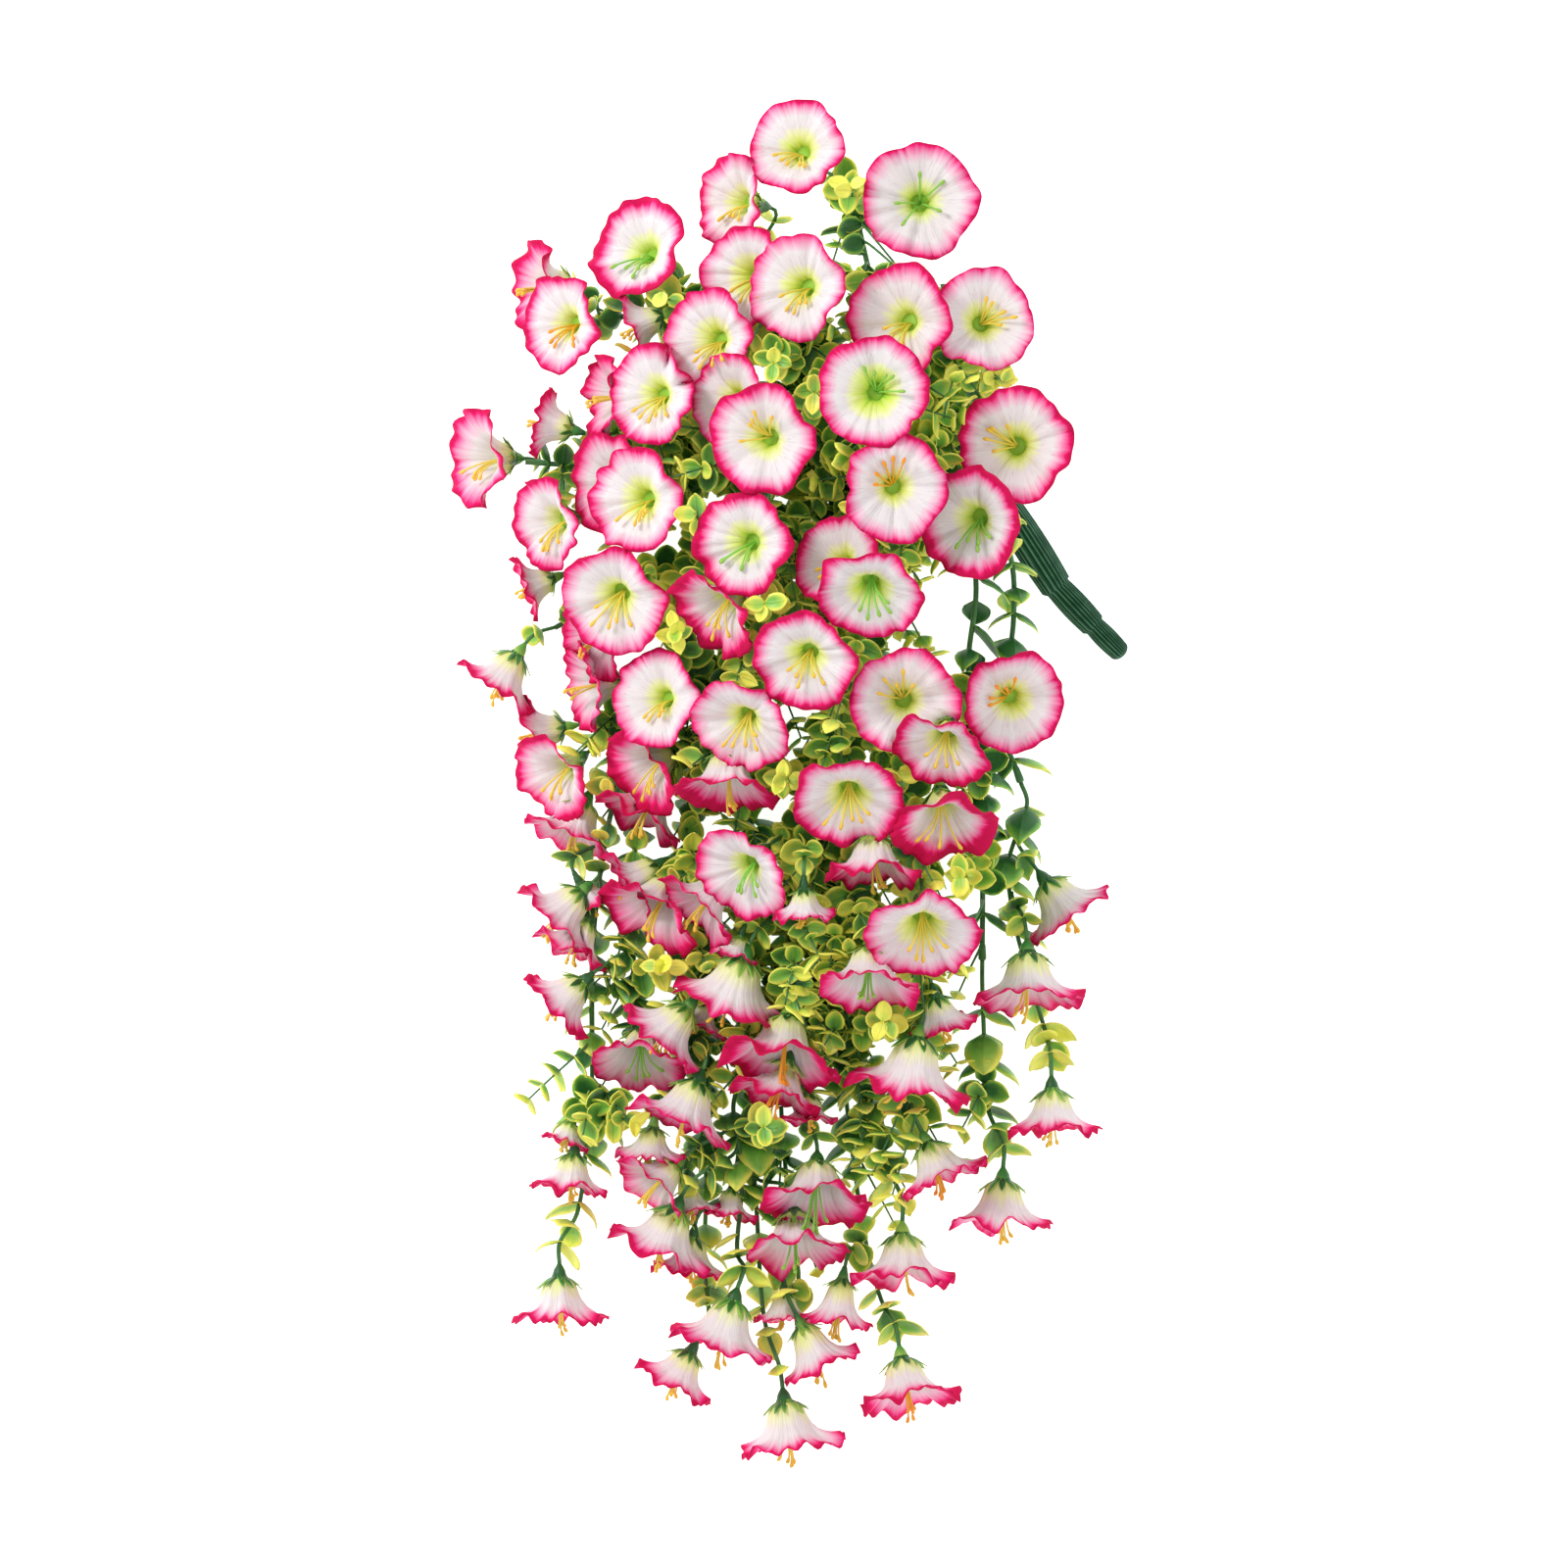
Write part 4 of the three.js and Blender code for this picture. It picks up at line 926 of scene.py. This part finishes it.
def add_calyx(shape, plan):
    """A cup under the bloom and pointed sepals that hug its foot."""
    seat, axis, u, v, diameter = (plan[key] for key in ("seat", "axis", "u", "v", "diameter"))
    random = random_from(CALYX_SEED + plan["number"])
    cup = BASE_RADIUS * diameter + CUP_WALL
    stem = STEM_RADIUS * ROUND_STEM
    radii = [stem, stem * 1.4, *(cup * share for share in CUP_SHARES)]
    add_tube(shape, [seat + axis * h for h in CUP_HEIGHTS], radii, CUP_SIDES, (0.3, random()), slot=1)
    spin = random() * 2 * math.pi
    for k in range(SEPALS):
        angle = spin + (k + 0.3 * (random() - 0.5)) * 2 * math.pi / SEPALS
        out = around(u, v, angle)
        across = np.cross(axis, out)
        reach, lift, t = sepal_path(plan, cup, drawn(random, *SEPAL_LENGTH) * diameter)
        width = cup * SEPAL_WIDTH * (1 - t) ** 0.9 * (1 + 1.5 * t) + 0.1
        sides = np.linspace(-1, 1, SEPAL_COLUMNS)
        bow = 0.5 * (width[:, None] * sides) ** 2 / reach[:, None]
        grid = (seat + out * (reach[:, None] - bow)[..., None] + axis * lift[:, None, None]
                + across * (width[:, None] * sides)[..., None])
        add_sheet(shape, grid, blade_tones(t, sides, random()), LEAF_THICK, slot=1)


# ---- Leaves ----
def leaf_grid(middle, onward, outward, size, random, kind):
    """One arched and pointed leaf, a part of an umbrella cap, that droops to where a stem is
    going. On a sprig it is slimmer and droops less."""
    length, width, curl = LEAF_FORMS["sprig" if kind == "sprig" else "cap"]
    outward = unit(outward - onward * (outward @ onward))
    across = np.cross(onward, outward)
    t = np.linspace(0, 1, BLADE_ROWS)
    s = np.linspace(-1, 1, LEAF_COLUMNS)
    blunt = drawn(random, 0.80, 0.45)
    half = width / 2 * size * (0.12 * (1 - t) + (1.25 + blunt) * t ** 0.55 * (1 - t) ** blunt)
    half[-1] = LEAF_TIP
    cup = drawn(random, 0.30, 0.25) * half
    droop = LEAF_DROOP * size * drawn(random, 0.65, 0.55) * curl
    reach = length * size * np.sin(t * LEAF_ARCH) / math.sin(LEAF_ARCH)
    sink = droop * t ** 1.6
    wave = LEAF_WAVE * size * np.sin(t * 9 + 6 * random())
    down = sink[:, None] + cup[:, None] * np.abs(s) ** 1.4 + wave[:, None] * s ** 3
    grid = (middle + outward * reach[:, None, None] + across * (half[:, None] * s)[..., None]
            + onward * down[..., None])
    return grid, t, s


def leaf_spots(stem, random):
    """Pairs of leaves on opposite sides of a line, each pair turned by a quarter."""
    sprig = stem["kind"] == "sprig"
    points = np.array(evenly(stem["line"], SPRIG_LEAF_STEP if sprig else LEAF_STEP))
    directions = np.gradient(points, axis=0)
    u = square_to(unit(directions[0]))[0]
    last = len(points) if sprig else len(points) - 1
    spots = []
    for k in range(1, last):
        onward = unit(directions[k])
        u = unit(u - onward * (u @ onward))
        v = np.cross(onward, u)
        angle = k * math.pi / 2 + 0.6 * (random() - 0.5)
        share = k / (len(points) - 1)
        for turn in (angle, angle + math.pi):
            size = drawn(random, *LEAF_SIZE) * (1 - TIP_SMALLER * share * (stem["kind"] != "branch"))
            size *= SHOOT_LEAF if stem["kind"] == "shoot" else 1
            spots.append((points[k], onward, around(u, v, turn), size, share))
    return spots


def sprig_way(start, angle):
    """The way that a sprig leans: down, away from the crown's middle, and a little astray."""
    column, row = pixel_of(start)
    away = np.array([column - CROWN["x"], CROWN["y"] - row, 0])
    away = away / (np.linalg.norm(away) + SPRIG_SPREAD)
    return unit(away + DOWN * SPRIG_LEAN + SPRIG_LEAN * np.array([math.cos(angle), math.sin(angle), 0]))


def carriers_of(stems):
    """The stems that sprigs grow on."""
    return [stem for stem in stems if stem["kind"] in ("branch", "shoot")]


def sprig_on(node, line):
    """A sprig of a node, which gets thinner towards its tip."""
    radii = list(np.linspace(SPRIG_RADIUS, SPRIG_RADIUS * SPRIG_TAPER, len(line)))
    return {"node": node, "line": line, "radii": radii, "kind": "sprig"}


def allowed(end):
    """Whether a sprig may end here, which isn't in a gap or beside the bush."""
    column, row = pixel_of(end)
    right = column > SPRIG_EDGE or (column > SPRIG_RIGHT[0] and row > SPRIG_RIGHT[1])
    return not (right or column < SPRIG_LEFT or in_gap(end))


def grow_sprigs(stems, petals):
    """Leafy sprigs that rise from the branches between the blooms and then hang over."""
    random = random_from(SPRIG_SEED)
    sprigs = []
    for stem in carriers_of(stems):
        points = evenly(stem["line"], SPRIG_STEP)
        for start, after in zip(points, points[1:]):
            angle, height, length = random() * 2 * math.pi, random(), drawn(random, *SPRIG_SHARE)
            column, row = pixel_of(start)
            room = front_height(column, row) - SPRIG_DEPTH - start[2]
            thinned = SPRIG_THINNED * smoothstep(LAST_CROWN_ROW, SPRIG_LAST_ROW, row)
            shortest = SPRIG_SHARE[0] + SPRIG_SHARE[1] * thinned
            if row > SPRIG_LAST_ROW or room < SPRIG_ROOM or length < shortest:
                continue
            way = sprig_way(start, angle) * SPRIG_LENGTH * length
            rise = np.array([0, 0, room * height])
            end = start + way + rise
            lead = start + unit(after - start) * 4 + rise * 0.9
            line = cut_short(bezier(start, lead, end - way * 0.7 + rise * 0.1, end, STEM_STEPS), petals)
            if len(line) > SPRIG_POINTS and allowed(end):
                sprigs.append(sprig_on(stem["node"], line))
    return sprigs


def fill_sprigs(stems, petals):
    """Two sprigs to each place where the photo shows leaves that no other sprig reaches."""
    sprigs = []
    starts = [(stem["node"], point) for stem in carriers_of(stems)
              for point in evenly(stem["line"], SPRIG_STEP)]
    lift = np.array([0, 0, FILL_LIFT])
    for column, row in FILLS:
        heart = place((column, row, front_height(column, row) - FILL_DEPTH))
        starts.sort(key=lambda item: float(np.linalg.norm((item[1] - heart)[:2])))
        used = []
        for node, start in starts[:FILL_STARTS]:
            way = heart - start
            end = heart + unit(way) * FILL_APART / 2
            line = bezier(start, start + way * 0.3 + lift, heart - way * 0.2 + lift, end, STEM_STEPS)
            near = any(np.linalg.norm(start - other) < FILL_APART for other in used)
            if len(used) < 2 and not near and len(cut_short(line, petals)) == len(line):
                used.append(start)
                sprigs.append(sprig_on(node, line))
    return sprigs


def cut_short(line, petals):
    """The part of a line before it meets a petal or passes in front of one."""
    for i in range(1, len(line)):
        way = line[i] - line[i - 1]
        reach = float(np.linalg.norm(way)) + PETAL_CLEAR
        if petals.ray_cast(tuple(line[i - 1]), tuple(unit(way)), reach)[0] or hides(line[i], petals):
            return line[:i]
    return line


def hides(point, petals):
    """Whether a petal lies under a point, so that it would be in front of a bloom."""
    return petals.ray_cast(tuple(point), (0, 0, -1))[0] is not None


def in_gap(heart):
    """Whether a leaf would be in one of the gaps that the photo shows."""
    column, row = pixel_of(heart)
    return any(math.hypot(column - x, row - y) < radius for x, y, radius in GAPS)


def behind(stem, heart):
    """Whether a leaf grows where the blooms lie in front of the leaves."""
    return stem["kind"] in ("sprig", "branch") or pixel_of(heart)[1] < LAST_CROWN_ROW


def youth_and_painted_shade(stem, share, shade, heart):
    """How yellow a leaf is: more so towards the tip of its stem, and less deep in the bush, which is painted
    shade.
    """
    young = 0.7 * shade + (0.05 if stem["kind"] == "branch" else 0.1 + 0.5 * share)
    depth = front_height(*pixel_of(heart)) - heart[2]
    # painted shade: the deeper a leaf lies under the front surface, the darker green it is made
    return young - LEAF_PAINTED_DEPTH_SHADE * smoothstep(*PAINTED_SHADE_DEPTHS, depth)


def grow_leaves(stems, petals):
    """Leaves along the stems, left out where one would cut a bloom or crowd another leaf."""
    random = random_from(LEAF_SEED)
    stalk = np.array(evenly([place(row) for row in STALK], 6))
    shapes = {}
    taken = np.zeros((0, 3))
    for stem in stems:
        tint = random()
        for middle, onward, outward, size, share in leaf_spots(stem, random):
            grid, t, s = leaf_grid(middle, onward, outward, size, random, stem["kind"])
            shade = OWN_TINT * tint + (1 - OWN_TINT) * random()
            heart = grid[LEAF_HEART]
            crowded = len(taken) and np.min(np.linalg.norm(taken - heart, axis=1)) < LEAF_SPACE
            on_stalk = np.min(np.linalg.norm(stalk - heart, axis=1)) < STALK_CLEAR
            if grid[..., 2].min() < FLOOR_CLEAR or crowded or on_stalk or in_gap(heart):
                continue
            if petals.overlap(grid_tree(grid, False)) or (behind(stem, heart) and hides(heart, petals)):
                continue
            taken = np.vstack([taken, heart])
            stem["leafy"] = share
            shape = shapes.setdefault(stem["node"], Shape())
            add_sheet(shape, grid, blade_tones(t, s, youth_and_painted_shade(stem, share, shade, heart)), LEAF_THICK)
    return shapes


# ---- Materials ----
# Colour sockets of a mix node.
MIX_FIRST = 6
MIX_SECOND = 7
MIX_RESULT = 2


class Nodes:
    """A material's nodes, made one call at a time."""

    def __init__(self, name, roughness, specular=0.5):
        self.material = bpy.data.materials.new(name)
        self.material.use_nodes = True
        self.tree = self.material.node_tree
        self.shader = self.tree.nodes["Principled BSDF"]
        self.shader.inputs["Roughness"].default_value = roughness
        self.shader.inputs["Specular IOR Level"].default_value = specular

    def feed(self, socket, value):
        """Gives a socket a number, a colour or what another node puts out."""
        if isinstance(value, (int, float)):
            socket.default_value = value
        elif isinstance(value, tuple):
            socket.default_value = (*value, 1)
        else:
            self.tree.links.new(value, socket)

    def make(self, kind, *values, **settings):
        """A node with its settings, and what its first sockets get."""
        node = self.tree.nodes.new("ShaderNode" + kind)
        for name, value in settings.items():
            setattr(node, name, value)
        for socket, value in zip(node.inputs, values):
            self.feed(socket, value)
        return node

    def tone(self):
        """The tone of each point: three separate numbers."""
        attribute = self.make("Attribute", attribute_name="tone")
        return self.make("SeparateXYZ", attribute.outputs["Vector"]).outputs

    def maths(self, operation, *values):
        return self.make("Math", *values, operation=operation).outputs[0]

    def power(self, value, exponent, strength):
        return self.maths("MULTIPLY", self.maths("POWER", value, exponent), strength)

    def noise(self, scale, detail, vector=None):
        """Noise from 0 to 1 over a vector, or else over the piece itself."""
        if vector is None:
            vector = self.make("TexCoord").outputs["Object"]
        node = self.make("TexNoise")
        for name, value in (("Scale", scale), ("Detail", detail), ("Vector", vector)):
            self.feed(node.inputs[name], value)
        return node.outputs["Fac"]

    def uneven(self, noise, strength):
        """A noise as numbers round zero."""
        return self.maths("MULTIPLY", self.maths("SUBTRACT", noise, 0.5), strength)

    def pack(self, *values):
        return self.make("CombineXYZ", *values).outputs[0]

    def ramp(self, factor, stops):
        """A colour ramp. Its first two stops are the ends."""
        node = self.make("ValToRGB", factor)
        elements = node.color_ramp.elements
        for position, _ in stops[2:]:
            elements.new(position)
        ordered = sorted(stops, key=lambda stop: stop[0])
        for element, (position, colour) in zip(elements, ordered):
            element.position = position
            element.color = (*colour, 1)
        return node.outputs[0]

    def mix(self, factor, first, second, blend="MIX"):
        node = self.make("Mix", factor, data_type="RGBA", blend_type=blend)
        self.feed(node.inputs[MIX_FIRST], first)
        self.feed(node.inputs[MIX_SECOND], second)
        return node.outputs[MIX_RESULT]

    def bump(self, height, strength, distance):
        node = self.make("Bump")
        for name, value in (("Strength", strength), ("Distance", distance), ("Height", height)):
            self.feed(node.inputs[name], value)
        self.feed(self.shader.inputs["Normal"], node.outputs[0])

    def colour(self, value):
        self.feed(self.shader.inputs["Base Color"], value)
        return self.material


WHITE = (0.80, 0.755, 0.768)
BLUSH = (0.85, 0.50, 0.63)
ROSE = (0.86, 0.17, 0.38)
FUCHSIA = (0.84, 0.010, 0.165)
CRIMSON = (0.62, 0.003, 0.08)
LIME = (0.70, 0.82, 0.12)
PALE_LIME = (0.84, 0.88, 0.42)
THROAT_GREEN = (0.38, 0.68, 0.06)


def petal_material(name, stops, veins):
    """Cloth printed from the throat to the rim, with feathery streaks where colours meet."""
    nodes = Nodes(name, 0.85, 0.2)
    along, cosine, sine = nodes.tone()
    streaks = nodes.noise(8.0, 4.0, nodes.pack(0.0, cosine, sine))
    wide = nodes.noise(1.7, 2.0, nodes.pack(along, cosine, sine))
    shifted = nodes.maths("ADD", along, nodes.uneven(streaks, 0.26))
    printed = nodes.ramp(nodes.maths("ADD", shifted, nodes.uneven(wide, 0.24)), stops)
    vein = nodes.ramp(streaks, [(0.44, (1, 1, 1)), (0.56, (0.90, 0.86, 0.84))])
    strength = nodes.maths("MULTIPLY", nodes.maths("SUBTRACT", 1.0, along), veins)
    veined = nodes.mix(strength, printed, vein, "MULTIPLY")
    lines = nodes.noise(30.0, 1.0, nodes.pack(nodes.maths("MULTIPLY", along, 0.12), cosine, sine))
    line = nodes.ramp(lines, [(0.60, (1, 1, 1)), (0.68, (0.78, 0.70, 0.70))])
    weave = nodes.maths("MULTIPLY", nodes.noise(900.0, 1.0), 0.15)
    nodes.bump(nodes.maths("ADD", streaks, weave), 0.5, 0.0012)
    return nodes.colour(nodes.mix(0.55, veined, line, "MULTIPLY"))


def leaf_material(name, dark, middle, edge):
    """Moulded plastic, dark along the leaf's middle and yellow green at its margin and tip."""
    nodes = Nodes(name, 0.42)
    along, across, young = nodes.tone()
    patches = nodes.noise(70.0, 3.0)
    rim = nodes.maths("ADD", nodes.power(across, 3.5, 0.60), nodes.power(along, 2.2, 0.50))
    # how young a leaf is, less the painted shade that darkens leaves deep in the bush
    age_and_painted_shade = nodes.maths("MULTIPLY", nodes.maths("SUBTRACT", young, 0.42), 0.95)
    factor = nodes.maths("ADD", rim, nodes.maths("ADD", age_and_painted_shade, nodes.uneven(patches, 0.7)))
    coloured = nodes.ramp(nodes.maths("ADD", factor, 0.08), [(0.08, dark), (0.80, edge), (0.42, middle)])
    rib = nodes.power(nodes.maths("SUBTRACT", 1.0, across), 8.0, -1.0)
    nodes.bump(nodes.maths("ADD", rib, nodes.maths("MULTIPLY", patches, 0.5)), 0.5, 0.0008)
    return nodes.colour(coloured)


def stem_material(name, dark, light):
    """Moulded plastic with soft patches and a fine grain."""
    nodes = Nodes(name, 0.5, 0.25)
    nodes.bump(nodes.noise(500.0, 1.0), 0.25, 0.0004)
    return nodes.colour(nodes.ramp(nodes.noise(60.0, 3.0), [(0.3, dark), (0.75, light)]))


def stalk_material_with_painted_rib_light():
    """Dark moulded plastic with random patches, painted darker in the grooves between its ribs as painted
    shade and paler along their ridges as a painted highlight.
    """
    nodes = Nodes("stalk", 0.45, 0.15)
    # rib height from the tone: paints shade in the grooves and a highlight along the ridges
    ridge = nodes.tone()[2]
    patches = nodes.noise(120.0, 3.0)
    factor = nodes.maths("ADD", nodes.power(ridge, 2.0, 0.75), nodes.maths("MULTIPLY", patches, 0.5))
    nodes.bump(patches, 0.3, 0.0004)
    # darkest stop is painted groove shade, palest stop a painted highlight on the ridges
    return nodes.colour(nodes.ramp(factor, [
        (0.15, (0.002, 0.022, 0.010)), (1.0, (0.10, 0.25, 0.15)),
        (0.55, (0.008, 0.062, 0.026)), (0.85, (0.016, 0.095, 0.042))]))


def stamen_material():
    """Green, yellow or orange by the bloom, with brighter anthers."""
    nodes = Nodes("stamen", 0.5)
    along, kind, _ = nodes.tone()
    filament = nodes.ramp(kind, [
        (0.0, (0.26, 0.62, 0.09)), (1.0, (0.85, 0.42, 0.02)), (0.5, (0.84, 0.66, 0.09))])
    anther = nodes.ramp(kind, [
        (0.0, (0.30, 0.50, 0.05)), (1.0, (0.90, 0.26, 0.005)), (0.5, (0.86, 0.48, 0.02))])
    nodes.bump(nodes.noise(1500.0, 1.0), 0.3, 0.0003)
    near_tip = nodes.maths("SMOOTH_MIN", nodes.maths("POWER", along, 6.0), 1.0, 0.1)
    stamen = nodes.mix(near_tip, filament, anther)
    return nodes.colour(nodes.mix(nodes.maths("LESS_THAN", kind, -0.5), stamen, THROAT_GREEN))


INSIDE = petal_material("petal_inside", [
    (0.0, THROAT_GREEN), (1.0, CRIMSON), (0.06, LIME), (0.20, PALE_LIME), (0.36, WHITE),
    (0.64, WHITE), (0.78, BLUSH), (0.89, ROSE), (0.955, FUCHSIA)], 0.5)
OUTSIDE = petal_material("petal_outside", [
    (0.0, LIME), (1.0, CRIMSON), (0.32, PALE_LIME), (0.56, WHITE), (0.70, WHITE),
    (0.82, BLUSH), (0.895, ROSE), (0.955, FUCHSIA)], 0.8)
LEAF = leaf_material("leaf", (0.026, 0.150, 0.036), (0.23, 0.56, 0.075), (0.92, 0.92, 0.13))
CALYX = leaf_material("calyx", (0.012, 0.10, 0.022), (0.035, 0.24, 0.04), (0.30, 0.52, 0.07))
STEM = stem_material("stem", (0.030, 0.115, 0.045), (0.11, 0.29, 0.09))
STALK_WITH_PAINTED_RIB_LIGHT = stalk_material_with_painted_rib_light()
STAMEN = stamen_material()


# ---- Making the pieces ----
def make_blooms():
    """The petals and stamens of each packed bloom or bunch of blooms."""
    laid = lay_blooms()
    made = []
    for node in sorted(name for name in frame["nodes"] if name.startswith("bloom_")):
        members = [PLANS[int(number)] for number in node.split("_")[1:]]
        petals, stamens = Shape(), Shape()
        for plan in members:
            add_petals(petals, plan, laid[plan["number"]])
            add_stamens(stamens, plan)
        piece = petals.piece(node.replace("bloom", "petals"), [INSIDE, OUTSIDE], "petal_cloth")
        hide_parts(node)
        stamens.piece(node.replace("bloom", "stamens"), [STAMEN], "stamen_plastic")
        made.append(piece)
    return made


def make_stems(stems):
    """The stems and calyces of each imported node, the stalk among them."""
    for node in sorted({stem["node"] for stem in stems}):
        shape = Shape()
        for stem in (stem for stem in stems if stem["node"] == node):
            add_tube(shape, stem["line"], stem["radii"], STEM_SIDES, (0.5, 0.5))
        for plan in (plan for plan in PLANS.values() if plan["node"] == node):
            add_calyx(shape, plan)
        if node == TRUNK:
            add_stalk(shape)
        piece = shape.piece(f"stems_{node}", [STEM, CALYX, STALK_WITH_PAINTED_RIB_LIGHT], "green_plastic")
        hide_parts(node)


def add_stalk(shape):
    """The fluted bundle of stems, with its smooth steps and rounded end."""
    def flutes(angles):
        ridge = 1 - 0.5 * FLUTE * np.abs(np.sin(3 * angles)) ** 1.5
        return ridge - RIB_DEPTH * (1 - ribs(angles))

    end, inner = place(STALK[1]), place(STALK[2])
    radius = STALK[1][3]
    onward = unit(end - inner)
    line, radii = [], []
    for k in range(ROUND_STEPS):
        angle = k / ROUND_STEPS * math.pi / 2
        line.append(end + onward * radius * ROUND_SHARE * math.cos(angle))
        radii.append(radius * math.sin(angle) + 0.15)
    for row, after in zip(STALK[1:], STALK[2:]):
        steps = STRETCH_STEPS if row[3] == after[3] else 1
        for k in range(steps):
            share = k / steps
            line.append(place(row) * (1 - share) + place(after) * share)
            swell = BULGE * math.sin(math.pi * share)
            radii.append((row[3] * (1 - share) + after[3] * share) * (1 + swell))
    line.append(place(STALK[-1]))
    radii.append(STALK[-1][3])
    add_tube(shape, line, radii, STALK_SIDES, (0.5, 0.5), slot=2, wave=flutes)


def tree_of(pieces):
    """One search tree of the faces of several pieces, in millimetres."""
    points, faces = [], []
    for piece in pieces:
        offset = len(points)
        points += [tuple(vertex.co / MM) for vertex in piece.data.vertices]
        faces += [tuple(i + offset for i in face.vertices) for face in piece.data.polygons]
    return BVHTree.FromPolygons(points, faces)


def trimmed(stems):
    """The stems, without sprigs that bear no leaf, and each sprig only up to its last leaf."""
    for stem in stems:
        if stem["kind"] == "sprig" and "leafy" in stem:
            last = math.ceil(stem["leafy"] * (len(stem["line"]) - 1)) + 1
            stem["line"], stem["radii"] = stem["line"][:last], stem["radii"][:last]
    return [stem for stem in stems
            if stem["kind"] != "sprig" or (len(stem["line"]) > 2 and "leafy" in stem)]


petals = tree_of(make_blooms())
stems = all_stems()
stems += grow_sprigs(stems, petals)
stems += fill_sprigs(stems, petals)
leaves = grow_leaves(stems, petals)
make_stems(trimmed(stems))
for node, shape in sorted(leaves.items()):
    shape.piece(f"leaves_{node}", [LEAF], "green_plastic")


# ---- Floor, light and camera ----
def put(name, data, location=(0, 0, 0)):
    """An object of the studio, which is no part of the bush."""
    thing = bpy.data.objects.new(name, data)
    thing.location = location
    bpy.context.scene.collection.objects.link(thing)
    return thing


def make_floor():
    half = FLOOR_SIZE / 2
    corners = [(-half, -half, 0), (half, -half, 0), (half, half, 0), (-half, half, 0)]
    mesh = bpy.data.meshes.new("floor")
    mesh.from_pydata(corners, [], [(0, 1, 2, 3)])
    nodes = Nodes("floor_paint", 0.9)
    nodes.feed(nodes.shader.inputs["Emission Strength"], FLOOR_GLOW)
    nodes.feed(nodes.shader.inputs["Emission Color"], (1, 1, 1))
    paint = nodes.ramp(nodes.noise(4.0, 2.0), [(0.0, (0.93, 0.93, 0.93)), (1.0, (0.95, 0.95, 0.95))])
    mesh.materials.append(nodes.colour(paint))
    floor = put("floor", mesh)


def make_light(name, location, size, power):
    data = bpy.data.lights.new(name, "AREA")
    data.size = size
    data.energy = power
    track = put(name, data, location).constraints.new("TRACK_TO")
    track.target = frame["bodies"]["root"]
    track.track_axis = "TRACK_NEGATIVE_Z"
    track.up_axis = "UP_Y"


def make_world():
    world = bpy.data.worlds.new("studio")
    world.use_nodes = True
    background = world.node_tree.nodes["Background"]
    background.inputs["Color"].default_value = (1, 1, 1, 1)
    background.inputs["Strength"].default_value = WORLD_LIGHT
    bpy.context.scene.world = world


def make_camera():
    """A camera straight above the middle of the photograph's frame."""
    data = bpy.data.cameras.new("camera")
    data.sensor_width = SENSOR
    data.lens = SENSOR * (CAMERA_DISTANCE - FLAT_HEIGHT * MM) / FRAME_WIDTH
    data.clip_end = 4 * CAMERA_DISTANCE
    x, y, _ = place((PHOTO_MIDDLE, PHOTO_MIDDLE, 0)) * MM
    bpy.context.scene.camera = put("camera", data, (x, y, CAMERA_DISTANCE))


make_floor()
make_world()
for name, light in LIGHTS.items():
    make_light(name, *light)
make_camera()
bpy.context.scene.view_settings.view_transform = "Standard"
